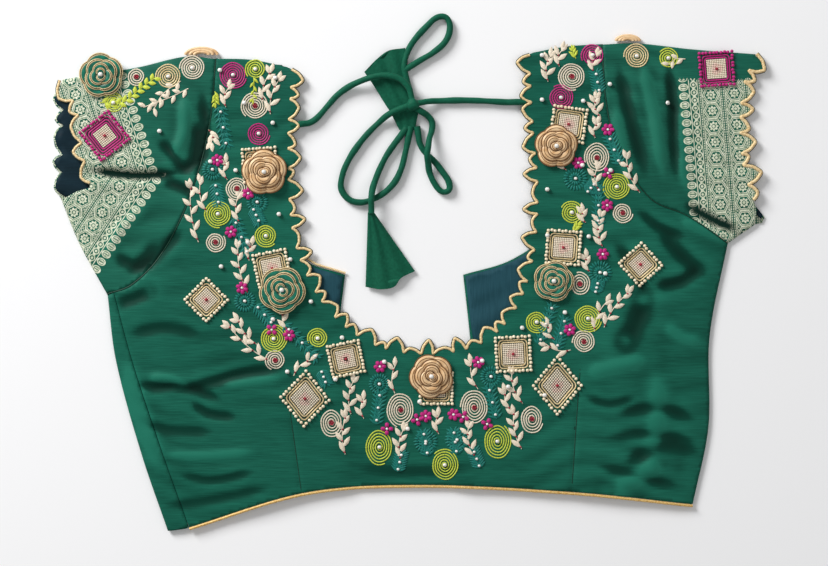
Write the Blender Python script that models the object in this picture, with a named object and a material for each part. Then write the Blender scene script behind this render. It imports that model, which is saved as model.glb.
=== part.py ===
"""A choli blouse laid flat on a table with its back uppermost.

All sizes are in millimetres and the mesh is made in metres. +Y points to the shoulders, +Z up.
The origin is under the middle of the garment, on the table.

The cloth lies in two layers. The lower layer is the fronts and the lower half of each sleeve,
flat on the table. The upper layer is the back and the upper half of each sleeve, and its height
over the table is one function, so that neighbouring pieces meet at their seams.
"""
import math

import bpy
import numpy as np
from mathutils import Vector
from mathutils.geometry import delaunay_2d_cdt

MM = 0.001

# ---- Driving sizes -------------------------------------------------------------------------
CLOTH = 1.2              # thickness of the outer cloth with its backing
LINING = 1.0             # thickness of a lining
GAP = 0.3                # air between two pieces that meet
SEAM = 0.4               # air across a seam, edge to edge
PIPING = 2.4             # width of the piping cord
PIPING_HEIGHT = 2.0
HEM_STRIP = 2.8          # width of the flat strip on the hem
EDGE_HEIGHT = 3.0        # middle of the upper cloth where the garment is closed at its edge
OPEN_HEIGHT = 4.3        # middle of the upper cloth further in
EDGE_REACH = 30.0        # how far in from a closed edge the upper cloth is still rising
SEAM_DIP = 0.9           # how far the upper cloth comes down onto the lower one at a seam
SEAM_DIP_REACH = 5.0
FOLD_RADIUS = (EDGE_HEIGHT - CLOTH / 2) / 2
FOLD_STEPS = 4           # facets round a fold
FOLD_OUT = FOLD_RADIUS + CLOTH / 2
CENTRE_SINK = 3.1        # the back sinks where no front lies under it
CENTRE_X = -3.0
CENTRE_FLAT = 26.0
CENTRE_REACH = 32.0
CURVE_STEP = 13.0        # spacing of the points on a long edge
GRID = 27.0              # spacing of the corners inside a curved panel
BOW = 0.11               # how far a scallop's side bows out, as a share of its length
BOW_MIN = 5.0            # shorter sides stay straight
MITRE = 2.0              # longest mitre, in widths
CORD = 6.0               # diameter of the dori
CORD_SPACING = 13.5      # spacing of the points along the dori
TASSEL_CLOTH = 1.0
TASSEL_STEPS = 7         # facets across a tassel

# ---- Outline of the garment ----------------------------------------------------------------
# The garment lies a little turned: its right half is higher than its left by twice the tilt at
# the shoulders, and by twice the armpit tilt lower down.
NECK_HALF = 101          # half widths, from the middle line
SHOULDER_HALF = 160
CUFF_HALF = 287
ARMPIT_HALF = 257
ARMPIT_SHIFT = 7         # the body lies this far to the right of the shoulders
SHOULDER_Y = 191
TILT = 6
NECK_DROP = 7            # the shoulder seam falls this much towards the neck
SLEEVE_DROP_LEFT = 17    # and this much towards the cuff
SLEEVE_DROP_RIGHT = 8
CUFF_OPENING_LEFT = 102
CUFF_OPENING_RIGHT = 141
ARMPIT_Y = 11
ARMPIT_TILT = 21
SIDE_LENGTH_LEFT = 196
SIDE_LENGTH_RIGHT = 216
SIDE_TAPER_LEFT = 50
SIDE_TAPER_RIGHT = 29
SIDE_SEAM_IN = 18        # the left side seam's foot, in from the fold
CENTRE_GAP = 98          # the fronts spread this far apart at the neck
CENTRE_GAP_FOOT = 116
CENTRE_TOP = 6
CENTRE_FOOT = -163
ARMHOLE_FULLNESS = 1.8   # 2 is a quarter of an ellipse, more is squarer

# Landmarks, where one edge of the garment meets the next.
ARM_TOP_LEFT = (-SHOULDER_HALF, SHOULDER_Y - TILT)
ARM_TOP_RIGHT = (SHOULDER_HALF, SHOULDER_Y + TILT)
NECK_TOP_LEFT = (-NECK_HALF, ARM_TOP_LEFT[1] - NECK_DROP)
NECK_TOP_RIGHT = (NECK_HALF + 2, ARM_TOP_RIGHT[1] - NECK_DROP)
CUFF_TOP_LEFT = (-CUFF_HALF, ARM_TOP_LEFT[1] - SLEEVE_DROP_LEFT)
CUFF_TOP_RIGHT = (CUFF_HALF, ARM_TOP_RIGHT[1] - SLEEVE_DROP_RIGHT)
CUFF_FOOT_LEFT = (-CUFF_HALF, CUFF_TOP_LEFT[1] - CUFF_OPENING_LEFT)
CUFF_FOOT_RIGHT = (CUFF_HALF, CUFF_TOP_RIGHT[1] - CUFF_OPENING_RIGHT)
ARMPIT_LEFT = (ARMPIT_SHIFT - ARMPIT_HALF, ARMPIT_Y - ARMPIT_TILT)
ARMPIT_RIGHT = (ARMPIT_SHIFT + ARMPIT_HALF, ARMPIT_Y + ARMPIT_TILT)
FOLD_FOOT_LEFT = (ARMPIT_LEFT[0] + SIDE_TAPER_LEFT, ARMPIT_LEFT[1] - SIDE_LENGTH_LEFT)
SEAM_FOOT_LEFT = (FOLD_FOOT_LEFT[0] + SIDE_SEAM_IN, FOLD_FOOT_LEFT[1] + 3)
SIDE_FOOT_RIGHT = (ARMPIT_RIGHT[0] - SIDE_TAPER_RIGHT, ARMPIT_RIGHT[1] - SIDE_LENGTH_RIGHT)
CENTRE_TOP_LEFT = (-4 - CENTRE_GAP / 2, CENTRE_TOP)
CENTRE_TOP_RIGHT = (-4 + CENTRE_GAP / 2, CENTRE_TOP)
CENTRE_FOOT_LEFT = (1 - CENTRE_GAP_FOOT / 2, CENTRE_FOOT)
CENTRE_FOOT_RIGHT = (1 + CENTRE_GAP_FOOT / 2, CENTRE_FOOT)


def quarter(upright, level, fullness, steps=6):
    """A quarter of a rounded square: it leaves one end upright and reaches the other level."""
    t = np.linspace(0, math.pi / 2, steps + 1)
    across, down = np.abs(np.cos(t)) ** (2 / fullness), np.abs(np.sin(t)) ** (2 / fullness)
    x = level[0] + (upright[0] - level[0]) * across
    y = upright[1] + (level[1] - upright[1]) * down
    return tuple(zip(x.tolist(), y.tolist()))


# Long edges: smooth curves through a few points each.
SHOULDER_LEFT = (ARM_TOP_LEFT, (-130, 184), NECK_TOP_LEFT)
SHOULDER_RIGHT = (NECK_TOP_RIGHT, (130, 195), ARM_TOP_RIGHT)
SLEEVE_TOP_LEFT = (CUFF_TOP_LEFT, (-225, 178), (-185, 187), ARM_TOP_LEFT)
SLEEVE_TOP_RIGHT = (ARM_TOP_RIGHT, (188, 198), (235, 193), CUFF_TOP_RIGHT)
ARMHOLE_LEFT = quarter(ARM_TOP_LEFT, ARMPIT_LEFT, ARMHOLE_FULLNESS)
ARMHOLE_RIGHT = (ARM_TOP_RIGHT, (163, 150), (173, 110), (200, 69), (230, 55), ARMPIT_RIGHT)   # the body folds up over it
SIDE_LEFT = (ARMPIT_LEFT, (-243, -65), (-222, -142), FOLD_FOOT_LEFT)
SIDE_SEAM_LEFT = ((ARMPIT_LEFT[0] + 6, ARMPIT_LEFT[1] + 1), (-229, -65), (-206, -135), SEAM_FOOT_LEFT)
SIDE_RIGHT = (ARMPIT_RIGHT, (249, -45), (248, -120), SIDE_FOOT_RIGHT)
HEM = (SIDE_FOOT_RIGHT, (140, -174), (10, -168), (-85, -174), SEAM_FOOT_LEFT)
UNDERARM_LEFT = (ARMPIT_LEFT, (-273, 32), CUFF_FOOT_LEFT)
UNDERARM_RIGHT = (ARMPIT_RIGHT, (274, 39), CUFF_FOOT_RIGHT)

# The scalloped edges: a smooth line through the notches, the spacing of the lobes and how far
# they stand out. No two lobes are alike, so both vary by a share of themselves.
NECK_LOWEST = (10, -60)
NECK_BOWL_TOP = 80
NECK_BOWL_LEFT = quarter((-100, NECK_BOWL_TOP), NECK_LOWEST, 2.1)
NECK_BOWL_RIGHT = quarter((107, NECK_BOWL_TOP), NECK_LOWEST, 2.7)
NECK = ((4 - NECK_HALF, NECK_TOP_LEFT[1] - 2), (-100, 130), *NECK_BOWL_LEFT, *NECK_BOWL_RIGHT[-2::-1],
        (103, 130), (NECK_HALF - 1, NECK_TOP_RIGHT[1] - 2))
NECK_PITCH = 13.5
NECK_REACH = 8.5
CUFF_LEFT = ((-CUFF_HALF - 2, CUFF_TOP_LEFT[1] - 1), (-275, 145), (-270, 112), (-264, 82))
CUFF_LEFT_PITCH = 17.0
CUFF_LEFT_REACH = 8.0
CUFF_RIGHT = ((CUFF_HALF + 1, CUFF_TOP_RIGHT[1]), (277, 165), (274, 125), (277, 92), (285, 68))
CUFF_RIGHT_PITCH = 14.0
CUFF_RIGHT_REACH = 10.0
INSIDE_CUFF_LEFT = ((-288, 163), (-289, 115), (-290, 72))
INSIDE_CUFF_PITCH = 19.0
INSIDE_CUFF_REACH = 6.0
UNEVEN_PLACE = 0.17
UNEVEN_REACH = 0.45

# Edge of each upper sleeve between its piping and the foot of the cuff.
CUFF_TURN_LEFT = ((-264, 78), (-275, 75), (-284, 70))
CUFF_TURN_RIGHT = ((288, 60),)
INSIDE_CUFF_RIGHT = ((283, 180), (272, 165), (268, 120), (271, 82), (288, 60), (295, 54), (293, 49))

# Fronts: neckline from the shoulder to the centre front, centre edge downwards, hem outwards.
NECKLINE_LEFT = ((-105, 180), (-107, 120), (-105, 60), (-88, 20), CENTRE_TOP_LEFT)
NECKLINE_RIGHT = ((112, 191), (118, 120), (112, 42), (86, 19), CENTRE_TOP_RIGHT)
CENTRE_EDGE_LEFT = (CENTRE_TOP_LEFT, (-58, -40), (-59, -110), CENTRE_FOOT_LEFT)
CENTRE_EDGE_RIGHT = (CENTRE_TOP_RIGHT, (51, -50), CENTRE_FOOT_RIGHT)
FRONT_HEM_LEFT = (CENTRE_FOOT_LEFT, (-125, -177), FOLD_FOOT_LEFT)
FRONT_HEM_RIGHT = (CENTRE_FOOT_RIGHT, (140, -169), SIDE_FOOT_RIGHT)
STRIP_FOOT = ((-184, -204), (-190, -205))

# Linings follow the edges that show. These are their hidden corners, under the upper layer.
LINING_INSET = 1.6
NECK_SHOWS_LEFT = 4      # points of the neckline along which the front shows at the neck
NECK_SHOWS_RIGHT = 7
CENTRE_SHOWS = 4
FRONT_LINING_HIDDEN_LEFT = ((-63, -56), (-80, -36), (-96, -2))
FRONT_LINING_HIDDEN_RIGHT = ((56, -64), (84, -50), (104, -24), (115, 8))
SLEEVE_LINING_HIDDEN_LEFT = ((-276, 66), (-250, 80), (-248, 100), (-262, 118), (-264, 150))
SLEEVE_LINING_RIGHT = ((273, 81), (281, 70), (288, 62), (293, 56), (292, 52), (289, 55), (283, 62),
                       (272, 65), (262, 72))

# ---- The largest folds and swells of the upper layer ---------------------------------------
#          x       y   half_length  half_width  turn_deg  height
FOLDS = (
    (-216.0, 98.0, 46.0, 9.0, -2.0, 1.5),       # roll of cloth above the deep sleeve crease
    (-222.0, 87.0, 40.0, 4.5, -3.0, -1.6),      # the deep crease in the left sleeve
    (-212.0, 142.0, 40.0, 20.0, 0.0, 0.8),
    (-232.0, 54.0, 34.0, 13.0, 35.0, 0.9),
    (186.0, 140.0, 46.0, 8.0, 80.0, 1.2),       # soft pleats down the right sleeve
    (209.0, 138.0, 44.0, 7.0, 84.0, 1.0),
    (234.0, 130.0, 40.0, 9.0, 88.0, 0.9),
    (257.0, 120.0, 44.0, 9.0, 90.0, 0.8),
    (-172.0, -40.0, 60.0, 42.0, 70.0, 0.7),
    (-168.0, -84.0, 44.0, 7.0, -8.0, 0.9),
    (-150.0, -158.0, 34.0, 8.0, -6.0, 0.9),
    (175.0, -50.0, 70.0, 40.0, 80.0, 0.6),
    (196.0, -32.0, 26.0, 9.0, 64.0, 0.9),
    (176.0, -88.0, 30.0, 8.0, -20.0, 0.9),
    (205.0, -145.0, 34.0, 9.0, 22.0, 0.9),
)

# ---- Fabric roses --------------------------------------------------------------------------
# A rose on the back is placed by its distance along the neck from the left shoulder and its
# distance out from the neck's edge. The others are placed along the top of a sleeve, from the
# cuff, the sleeve's own rose also by its distance down.
ROSE_HEIGHT = 8.0
ROSE_SIDES = 12
ROSE_PROFILE = ((0.86, 0.0), (1.0, 0.3), (0.8, 0.72), (0.34, 1.0))    # (radius, height) shares
#   name               along  out  radius
NECK_ROSES = (
    ("rose_shoulder_left", 85, 19, 18.0),
    ("rose_side_left", 175, 23, 18.5),
    ("rose_centre", 303, 18, 17.5),
    ("rose_side_right", 418, 20, 16.0),
    ("rose_shoulder_right", 523, 17, 17.0),
)
SLEEVE_ROSE = ("rose_sleeve", 33, 2, 17.5)        # name, along, down, radius
PEEK_THICKNESS = 5.0
PEEK_GAP = 1.5
#   name              side  along  half_width  reach
PEEKS = (("rose_front_left", "left", 117, 15.0, 7.0), ("rose_front_right", "right", 106, 11.0, 5.5))

# ---- The dori: routes of the cord's centre, as (x, y, z) -----------------------------------
CORD_ROUTES = {
    "dori_left": ((-88, 131, 4), (-82, 132, 3), (-76, 136, 3), (-68, 145, 3), (-59, 155, 3), (-49, 162, 4.2),
                  (-40, 166, 7), (-31, 169, 8.3), (-22, 170.5, 8.8), (-13, 169.5, 9.3), (-6, 166.5, 9.6),
                  (0, 160, 9.6), (2, 153, 9.4)),
    "dori_right": ((89, 149, 4), (80, 149, 3), (62, 150, 3), (44, 150.5, 3), (26, 150, 3), (17, 149.5, 5.4),
                   (9, 148, 8)),
    "dori_loop_top": ((1, 157, 3), (-2, 168, 3), (-4, 179, 3), (-1, 191, 3), (5, 201, 3), (14, 211, 3),
                      (23, 219, 3), (31, 219, 3), (34, 210, 3), (30, 199, 3), (20, 190, 3), (10, 184, 3),
                      (2, 179, 3)),
    "dori_loop_lower": ((-4, 144, 8.6), (-12, 141, 8), (-19, 137, 5.6), (-26, 131, 3), (-35, 122, 3),
                        (-43, 112, 3), (-50, 101, 3), (-55, 89, 3), (-56, 77, 3), (-49, 68, 3), (-39, 66, 3),
                        (-29, 69, 3), (-19, 75, 3), (-11, 84, 3), (-6, 95, 3), (-3, 107, 3), (0, 121, 3)),
    "dori_tail": ((-7, 121, 3), (-13, 113, 3), (-19, 104, 3), (-24, 94, 3), (-28, 84, 3.4), (-30, 77, 7.4),
                  (-31, 69, 10.9), (-31, 61.6, 9.6)),
    "dori_loop_right": ((10, 141, 7.6), (15, 138, 4.6), (19, 133, 3.1), (19, 126, 3.2), (17, 119, 6.8),
                        (16, 112, 10), (15, 105, 10.4), (16, 98, 6.2), (17, 91, 3.2), (21, 82, 3),
                        (27, 75, 3), (33, 76, 3), (33, 83, 3), (28, 91, 3), (21, 100, 3), (13, 108, 3),
                        (9, 115, 3), (8, 121, 3)),
}
KNOT_CENTRE = (3.4, 146.6, 9.2)
KNOT_RADII = (5.0, 5.2, 4.2)

# Each tassel is a pressed cone: lines across it from its throat to its mouth, and the lowest and
# highest its cloth comes there. The last line is the mouth. The lower one is a straight cone, so
# its lines in between are worked out from their share of the way.
LOWER_THROAT = ((-34, 58), (-29, 58))
LOWER_MOUTH = ((-36, -4), (-24, -6), (-12, -4), (-7, 3), (5, 9))


def between_lines(first, last, share, points=4):
    """The line that lies a share of the way from one line to another."""
    def spread(line):
        line = np.array(line, float)
        gone = np.concatenate([[0], np.cumsum(np.linalg.norm(np.diff(line, axis=0), axis=1))])
        wanted = np.linspace(0, gone[-1], points)
        return np.column_stack([np.interp(wanted, gone, line[:, 0]), np.interp(wanted, gone, line[:, 1])])
    return (1 - share) * spread(first) + share * spread(last)


#                     lowest  highest  points of the line
TASSELS = {
    "tassel_lower": ((5.0, 9.0, LOWER_THROAT),
                     (0.6, 6.5, between_lines(LOWER_THROAT, LOWER_MOUTH, 0.28)),
                     (0.6, 5.0, between_lines(LOWER_THROAT, LOWER_MOUTH, 0.62)),
                     (0.6, 4.4, LOWER_MOUTH)),
    "tassel_upper": ((0.8, 3.6, ((-8, 126), (5, 126))),
                     (0.6, 4.2, ((-15, 140), (8, 141))),
                     (0.6, 4.4, ((-22, 151), (-4, 156))),
                     (0.6, 4.8, ((-30, 164), (-9, 173))),
                     (0.6, 4.8, ((-37, 174), (-27, 184), (-18, 191), (-9, 194)))),
}


# ---- Plane geometry ------------------------------------------------------------------------
def curve(points, step=CURVE_STEP):
    """Points on a smooth curve through the given ones, which stay among them."""
    knots = np.array(points, float)
    ahead = np.vstack([knots[1:], 2 * knots[-1:] - knots[-2:-1]])
    behind = np.vstack([2 * knots[:1] - knots[1:2], knots[:-1]])
    tangent = ahead - behind
    tangent /= np.linalg.norm(tangent, axis=1)[:, None]
    made = []
    for here, there, leave, arrive in zip(knots[:-1], knots[1:], tangent[:-1], tangent[1:]):
        length = np.linalg.norm(there - here)
        count = max(1, round(length / step))
        t = (np.arange(count) / count)[:, None]
        made.append(here * (2 * t**3 - 3 * t**2 + 1) + there * (3 * t**2 - 2 * t**3)
                    + leave * length * (t**3 - 2 * t**2 + t) + arrive * length * (t**3 - t**2))
    made.append(knots[-1:])
    return np.vstack(made)


def gone_along(path):
    """Length of a path up to each of its points."""
    return np.concatenate([[0], np.cumsum(np.linalg.norm(np.diff(path, axis=0), axis=1))])


def at_lengths(path, wanted):
    """Points on a path at the wanted lengths along it."""
    gone = gone_along(path)
    return np.column_stack([np.interp(wanted, gone, path[:, axis]) for axis in range(path.shape[1])])


def left_of(direction):
    """The unit vector to the left of each direction of travel."""
    turned = np.stack([-direction[..., 1], direction[..., 0]], axis=-1)
    return turned / np.linalg.norm(turned, axis=-1, keepdims=True)


def offset(path, distance):
    """The path moved to its left, mitred at its corners."""
    path = np.asarray(path, float)
    sides = left_of(np.diff(path, axis=0))
    before = np.vstack([sides[:1], sides])
    after = np.vstack([sides, sides[-1:]])
    middle = before + after
    middle /= np.linalg.norm(middle, axis=1)[:, None]
    stretch = 1 / np.maximum((middle * before).sum(axis=1), 1 / MITRE)
    return path + middle * stretch[:, None] * distance


def scalloped(points, pitch, reach, outside=1):
    """The middle of the piping round the lobes: notch, bowed side, tip, bowed side, and so on.

    The notches lie about a pitch apart on the smooth line through the points, and the tips stand
    out from it. outside is 1 where the open air is to the left of travel, and -1 to the right."""
    line = curve(points, pitch / 6)
    total = gone_along(line)[-1]
    count = round(total / pitch)
    lobe = np.arange(count)
    notch_at = (lobe + UNEVEN_PLACE * np.sin(2.4 * lobe)) / count * total
    tip_at = (lobe + 0.5 + UNEVEN_PLACE * np.sin(1.7 * lobe + 1)) / count * total
    reaches = reach * (1 + UNEVEN_REACH * np.sin(2.9 * lobe + 0.5))
    ahead = at_lengths(line, np.minimum(tip_at + 1, total)) - at_lengths(line, tip_at - 1)
    notches = at_lengths(line, notch_at)
    tips = at_lengths(line, tip_at) + left_of(ahead) * (outside * reaches)[:, None]
    corners = np.vstack([np.stack([notches, tips], axis=1).reshape(-1, 2), line[-1:]])
    made = []
    for here, there in zip(corners[:-1], corners[1:]):
        made.append(here)
        length = np.linalg.norm(there - here)
        if length > BOW_MIN:
            made.append((here + there) / 2 + left_of(there - here) * outside * BOW * length)
    made.append(corners[-1])
    return np.array(made)


def distance_to(path, x, y):
    """Distance from each (x, y) to the nearest point of a path."""
    start, end = path[:-1], path[1:]
    along = end - start
    px = np.asarray(x, float)[..., None] - start[:, 0]
    py = np.asarray(y, float)[..., None] - start[:, 1]
    share = np.clip((px * along[:, 0] + py * along[:, 1]) / (along**2).sum(axis=1), 0, 1)
    return np.hypot(px - share * along[:, 0], py - share * along[:, 1]).min(axis=-1)


def inside(outline, x, y):
    """True where (x, y) lies in the closed outline."""
    start = outline
    end = np.roll(outline, -1, axis=0)
    px, py = np.asarray(x)[..., None], np.asarray(y)[..., None]
    crosses = (start[:, 1] > py) != (end[:, 1] > py)
    rise = np.where(end[:, 1] == start[:, 1], 1.0, end[:, 1] - start[:, 1])
    at = start[:, 0] + (py - start[:, 1]) / rise * (end[:, 0] - start[:, 0])
    return (crosses & (px < at)).sum(axis=-1) % 2 == 1


def from_edge(edge, along, away):
    """Points at lengths along an edge and at distances to the right of travel."""
    line = curve(edge, 3.0)
    along, away = np.asarray(along, float), np.asarray(away, float)
    ahead = at_lengths(line, along + 2) - at_lengths(line, np.maximum(along - 2, 0))
    return at_lengths(line, along) - left_of(ahead) * away[:, None]


def rose_places():
    """Name, x, y and radius of every rose that is sewn on."""
    spots = from_edge(NECK, [row[1] for row in NECK_ROSES], [row[2] for row in NECK_ROSES])
    placed = [(row[0], float(x), float(y), row[3]) for row, (x, y) in zip(NECK_ROSES, spots)]
    name, along, down, radius = SLEEVE_ROSE
    x, y = from_edge(SLEEVE_TOP_LEFT, [along], [down])[0]
    return placed + [(name, float(x), float(y), radius)]


def peeking_places():
    """Name, x, chord's y, half width and reach of the roses that peek over a sleeve's top."""
    placed = []
    for name, side, along, half_width, reach in PEEKS:
        edge = SLEEVE_TOP_LEFT if side == "left" else SLEEVE_TOP_RIGHT[::-1]
        x, y = from_edge(edge, [along], [0])[0]
        placed.append((name, float(x), float(y) + PEEK_GAP, half_width, reach))
    return placed


def smoothstep(t):
    t = np.clip(t, 0, 1)
    return t * t * (3 - 2 * t)


# ---- Height of the upper layer -------------------------------------------------------------
CLOSED_EDGES = [curve(edge) for edge in (
    SHOULDER_LEFT, SLEEVE_TOP_LEFT, UNDERARM_LEFT, SIDE_LEFT,
    SHOULDER_RIGHT, SLEEVE_TOP_RIGHT, UNDERARM_RIGHT, SIDE_RIGHT)]


def upper_height(x, y, seams=()):
    """Middle of the upper cloth: it rises from the closed edges, with its folds, and sinks
    between the fronts. Along the seams that are given it comes down onto the lower cloth."""
    x, y = np.asarray(x, float), np.asarray(y, float)
    away = np.min([distance_to(edge, x, y) for edge in CLOSED_EDGES], axis=0)
    rise = 1 - (1 - np.clip(away / EDGE_REACH, 0, 1))**2
    swell = np.full_like(x, OPEN_HEIGHT - EDGE_HEIGHT)
    for mid_x, mid_y, half_length, half_width, turn, height in FOLDS:
        cos, sin = math.cos(math.radians(turn)), math.sin(math.radians(turn))
        along = ((x - mid_x) * cos + (y - mid_y) * sin) / half_length
        across = ((y - mid_y) * cos - (x - mid_x) * sin) / half_width
        swell = swell + height * np.exp(-along**2 - across**2)
    sink = CENTRE_SINK * smoothstep(1 - (np.abs(x - CENTRE_X) - CENTRE_FLAT) / CENTRE_REACH)
    height = EDGE_HEIGHT + rise * (swell - sink)
    for seam in seams:
        height = height - SEAM_DIP * np.exp(-distance_to(seam, x, y) / SEAM_DIP_REACH)
    return height


# ---- Making objects ------------------------------------------------------------------------
def material(name, colour, roughness, metallic=0.0):
    made = bpy.data.materials.new(name)
    made.use_nodes = True
    shader = made.node_tree.nodes["Principled BSDF"]
    shader.inputs["Base Color"].default_value = (*colour, 1.0)
    shader.inputs["Roughness"].default_value = roughness
    shader.inputs["Metallic"].default_value = metallic
    return made


def add_object(name, data, colour):
    made = bpy.data.objects.new(name, data)
    made.data.materials.append(colour)
    bpy.context.scene.collection.objects.link(made)
    return made


def add_mesh(name, corners, faces, colour):
    """A named object from corners in millimetres."""
    mesh = bpy.data.meshes.new(name)
    mesh.from_pydata([tuple(corner) for corner in np.asarray(corners, float) * MM], [], faces)
    mesh.validate()
    mesh.shade_smooth()
    mesh.set_sharp_from_angle(angle=math.radians(40))
    return add_object(name, mesh, colour)


def thicken(made, thickness):
    """Give a sheet its thickness, half to each side."""
    wall = made.modifiers.new("cloth", "SOLIDIFY")
    wall.thickness = thickness * MM
    wall.offset = 0
    wall.use_even_offset = True
    wall.use_rim = True


def grid_inside(outline, pitch):
    """Staggered points inside an outline, clear of its edge."""
    low, high = outline.min(axis=0), outline.max(axis=0)
    rows = np.arange(low[1] + pitch / 2, high[1], pitch * math.sqrt(0.75))
    points = [(x + (row % 2) * pitch / 2, y) for row, y in enumerate(rows)
              for x in np.arange(low[0] + pitch / 4, high[0], pitch)]
    x, y = np.array(points).T
    closed = np.vstack([outline, outline[:1]])
    keep = inside(outline, x, y) & (distance_to(closed, x, y) > pitch * 0.4)
    return np.stack([x, y], axis=1)[keep]


def fill(outline, extra=(), lines=()):
    """Triangles that fill an outline, with extra corners inside it and lines kept as edges."""
    corners = [tuple(point) for point in outline]
    edges = [(i, (i + 1) % len(corners)) for i in range(len(corners))]
    ring = list(range(len(corners)))
    corners += [tuple(point) for point in extra]
    for line in lines:
        first = len(corners)
        corners += [tuple(point) for point in line]
        edges += [(first + i, first + i + 1) for i in range(len(line) - 1)]
    found = delaunay_2d_cdt([Vector(corner) for corner in corners], edges, [ring], 1, 1e-4)
    return np.array([tuple(corner) for corner in found[0]]), [list(face) for face in found[2]]


def flat_panel(name, outline, middle, thickness, colour):
    """A cut of cloth that lies flat, its middle at one height."""
    flat, faces = fill(np.asarray(outline, float))
    corners = np.column_stack([flat, np.full(len(flat), middle)])
    made = add_mesh(name, corners, faces, colour)
    thicken(made, thickness)
    return made


def raised_panel(name, outline, height, colour):
    """A cut of cloth whose middle follows a height over the table."""
    flat, faces = fill(outline, grid_inside(outline, GRID))
    corners = np.column_stack([flat, height(flat[:, 0], flat[:, 1])])
    made = add_mesh(name, corners, faces, colour)
    thicken(made, CLOTH)
    return made


def folded_panel(name, over, under, fold, height, turned, colour):
    """A cut of cloth folded along one side of the garment.

    over runs round the upper sheet from the fold's last point to its first, under round the
    lower sheet from the first to the last, and the cut is laid out flat across the fold, filled
    with triangles and folded again. turned is True where the fold runs along Y, not X."""
    swap = (lambda points: np.column_stack([points[:, 1], -points[:, 0]])) if turned else (lambda points: points)
    fold, over, under = (swap(np.asarray(points, float)) for points in (fold, over, under))
    order = np.argsort(fold[:, 0])
    wrap = math.pi * FOLD_RADIUS

    def fold_at(p):
        return np.interp(p, fold[order, 0], fold[order, 1])

    laid_under = np.column_stack([under[:, 0], 2 * fold_at(under[:, 0]) - under[:, 1] + wrap])
    steps = np.arange(1, FOLD_STEPS) / FOLD_STEPS * wrap
    first, last = ([(end[0], end[1] + step) for step in steps] for end in (fold[0], fold[-1]))
    outline = np.vstack([over, first, laid_under, last[::-1]])
    lines = [fold + (0, step) for step in (0, *steps, wrap)]
    over_outline = np.vstack([over, fold[1:-1]])
    flat, faces = fill(outline, grid_inside(over_outline, GRID), lines)

    p, across = flat[:, 0], flat[:, 1] - fold_at(flat[:, 0])
    angle = np.clip(across / FOLD_RADIUS, 0, math.pi)
    q = fold_at(p) + np.where(across < 0, across, np.sin(angle) * FOLD_RADIUS) - np.maximum(across - wrap, 0)
    x, y = (-q, p) if turned else (p, q)
    round_the_fold = CLOTH / 2 + FOLD_RADIUS * (1 + np.cos(angle))
    z = np.where(across < -1e-3, height(x, y), round_the_fold)
    made = add_mesh(name, np.column_stack([x, y, z]), faces, colour)
    thicken(made, CLOTH)
    return made


def edge_strip(name, path, width, thickness, height, colour):
    """A narrow strip along an edge, with a flat top and bottom."""
    left, right = offset(path, width / 2), offset(path, -width / 2)
    middle = height(path[:, 0], path[:, 1])
    top, foot = middle + thickness / 2, middle - thickness / 2
    rings = np.stack([np.column_stack([left, foot]), np.column_stack([left, top]),
                      np.column_stack([right, top]), np.column_stack([right, foot])], axis=1)
    count = len(path)
    faces = [[i * 4 + k, i * 4 + (k + 1) % 4, i * 4 + 4 + (k + 1) % 4, i * 4 + 4 + k]
             for i in range(count - 1) for k in range(4)]
    faces += [[3, 2, 1, 0], [count * 4 - 4 + k for k in range(4)]]
    return add_mesh(name, rings.reshape(-1, 3), faces, colour)


def rings_to_faces(rings, sides):
    """Faces between closed rings of corners, in order."""
    return [[r * sides + k, r * sides + (k + 1) % sides, (r + 1) * sides + (k + 1) % sides, (r + 1) * sides + k]
            for r in range(rings - 1) for k in range(sides)]


def rose(name, x, y, radius, height, colour):
    """A rolled fabric rose as a low round solid that sits on the cloth below it."""
    angles = np.arange(ROSE_SIDES) * 2 * math.pi / ROSE_SIDES
    reach = np.linspace(0, radius, 5)[:, None]
    under = height(x + reach * np.cos(angles), y + reach * np.sin(angles))
    base = under.max() + CLOTH / 2 + GAP
    corners = [(x + radius * share * math.cos(a), y + radius * share * math.sin(a), base + ROSE_HEIGHT * up)
               for share, up in ROSE_PROFILE for a in angles]
    faces = rings_to_faces(len(ROSE_PROFILE), ROSE_SIDES)
    faces += [list(range(ROSE_SIDES))[::-1], [len(corners) - ROSE_SIDES + k for k in range(ROSE_SIDES)]]
    return add_mesh(name, corners, faces, colour)


def peeking_rose(name, x, chord_y, half_width, reach, colour):
    """The part of a rose that shows past the shoulder: a half disc lying on the table."""
    angles = np.linspace(0, math.pi, ROSE_SIDES)
    corners = [(x + half_width * inset * math.cos(a), chord_y + reach * inset * math.sin(a), z)
               for inset, z in ((1.0, 0.0), (1.0, PEEK_THICKNESS * 0.6), (0.8, PEEK_THICKNESS)) for a in angles]
    faces = rings_to_faces(3, ROSE_SIDES)
    faces += [list(range(ROSE_SIDES))[::-1], [2 * ROSE_SIDES + k for k in range(ROSE_SIDES)]]
    return add_mesh(name, corners, faces, colour)


def cord(name, route, colour):
    """A tube of the dori along a smooth curve through its route."""
    points = curve(route, CORD_SPACING / 4)
    total = gone_along(points)[-1]
    points = at_lengths(points, np.linspace(0, total, round(total / CORD_SPACING) + 1))
    points[:, 2] = np.maximum(points[:, 2], CORD / 2 + 0.05)
    data = bpy.data.curves.new(name, "CURVE")
    data.dimensions = "3D"
    data.bevel_depth = CORD / 2 * MM
    data.bevel_resolution = 2
    data.use_fill_caps = True
    spline = data.splines.new("POLY")
    spline.points.add(len(points) - 1)
    for knot, point in zip(spline.points, points * MM):
        knot.co = (*point, 1.0)
    return add_object(name, data, colour)


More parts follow.
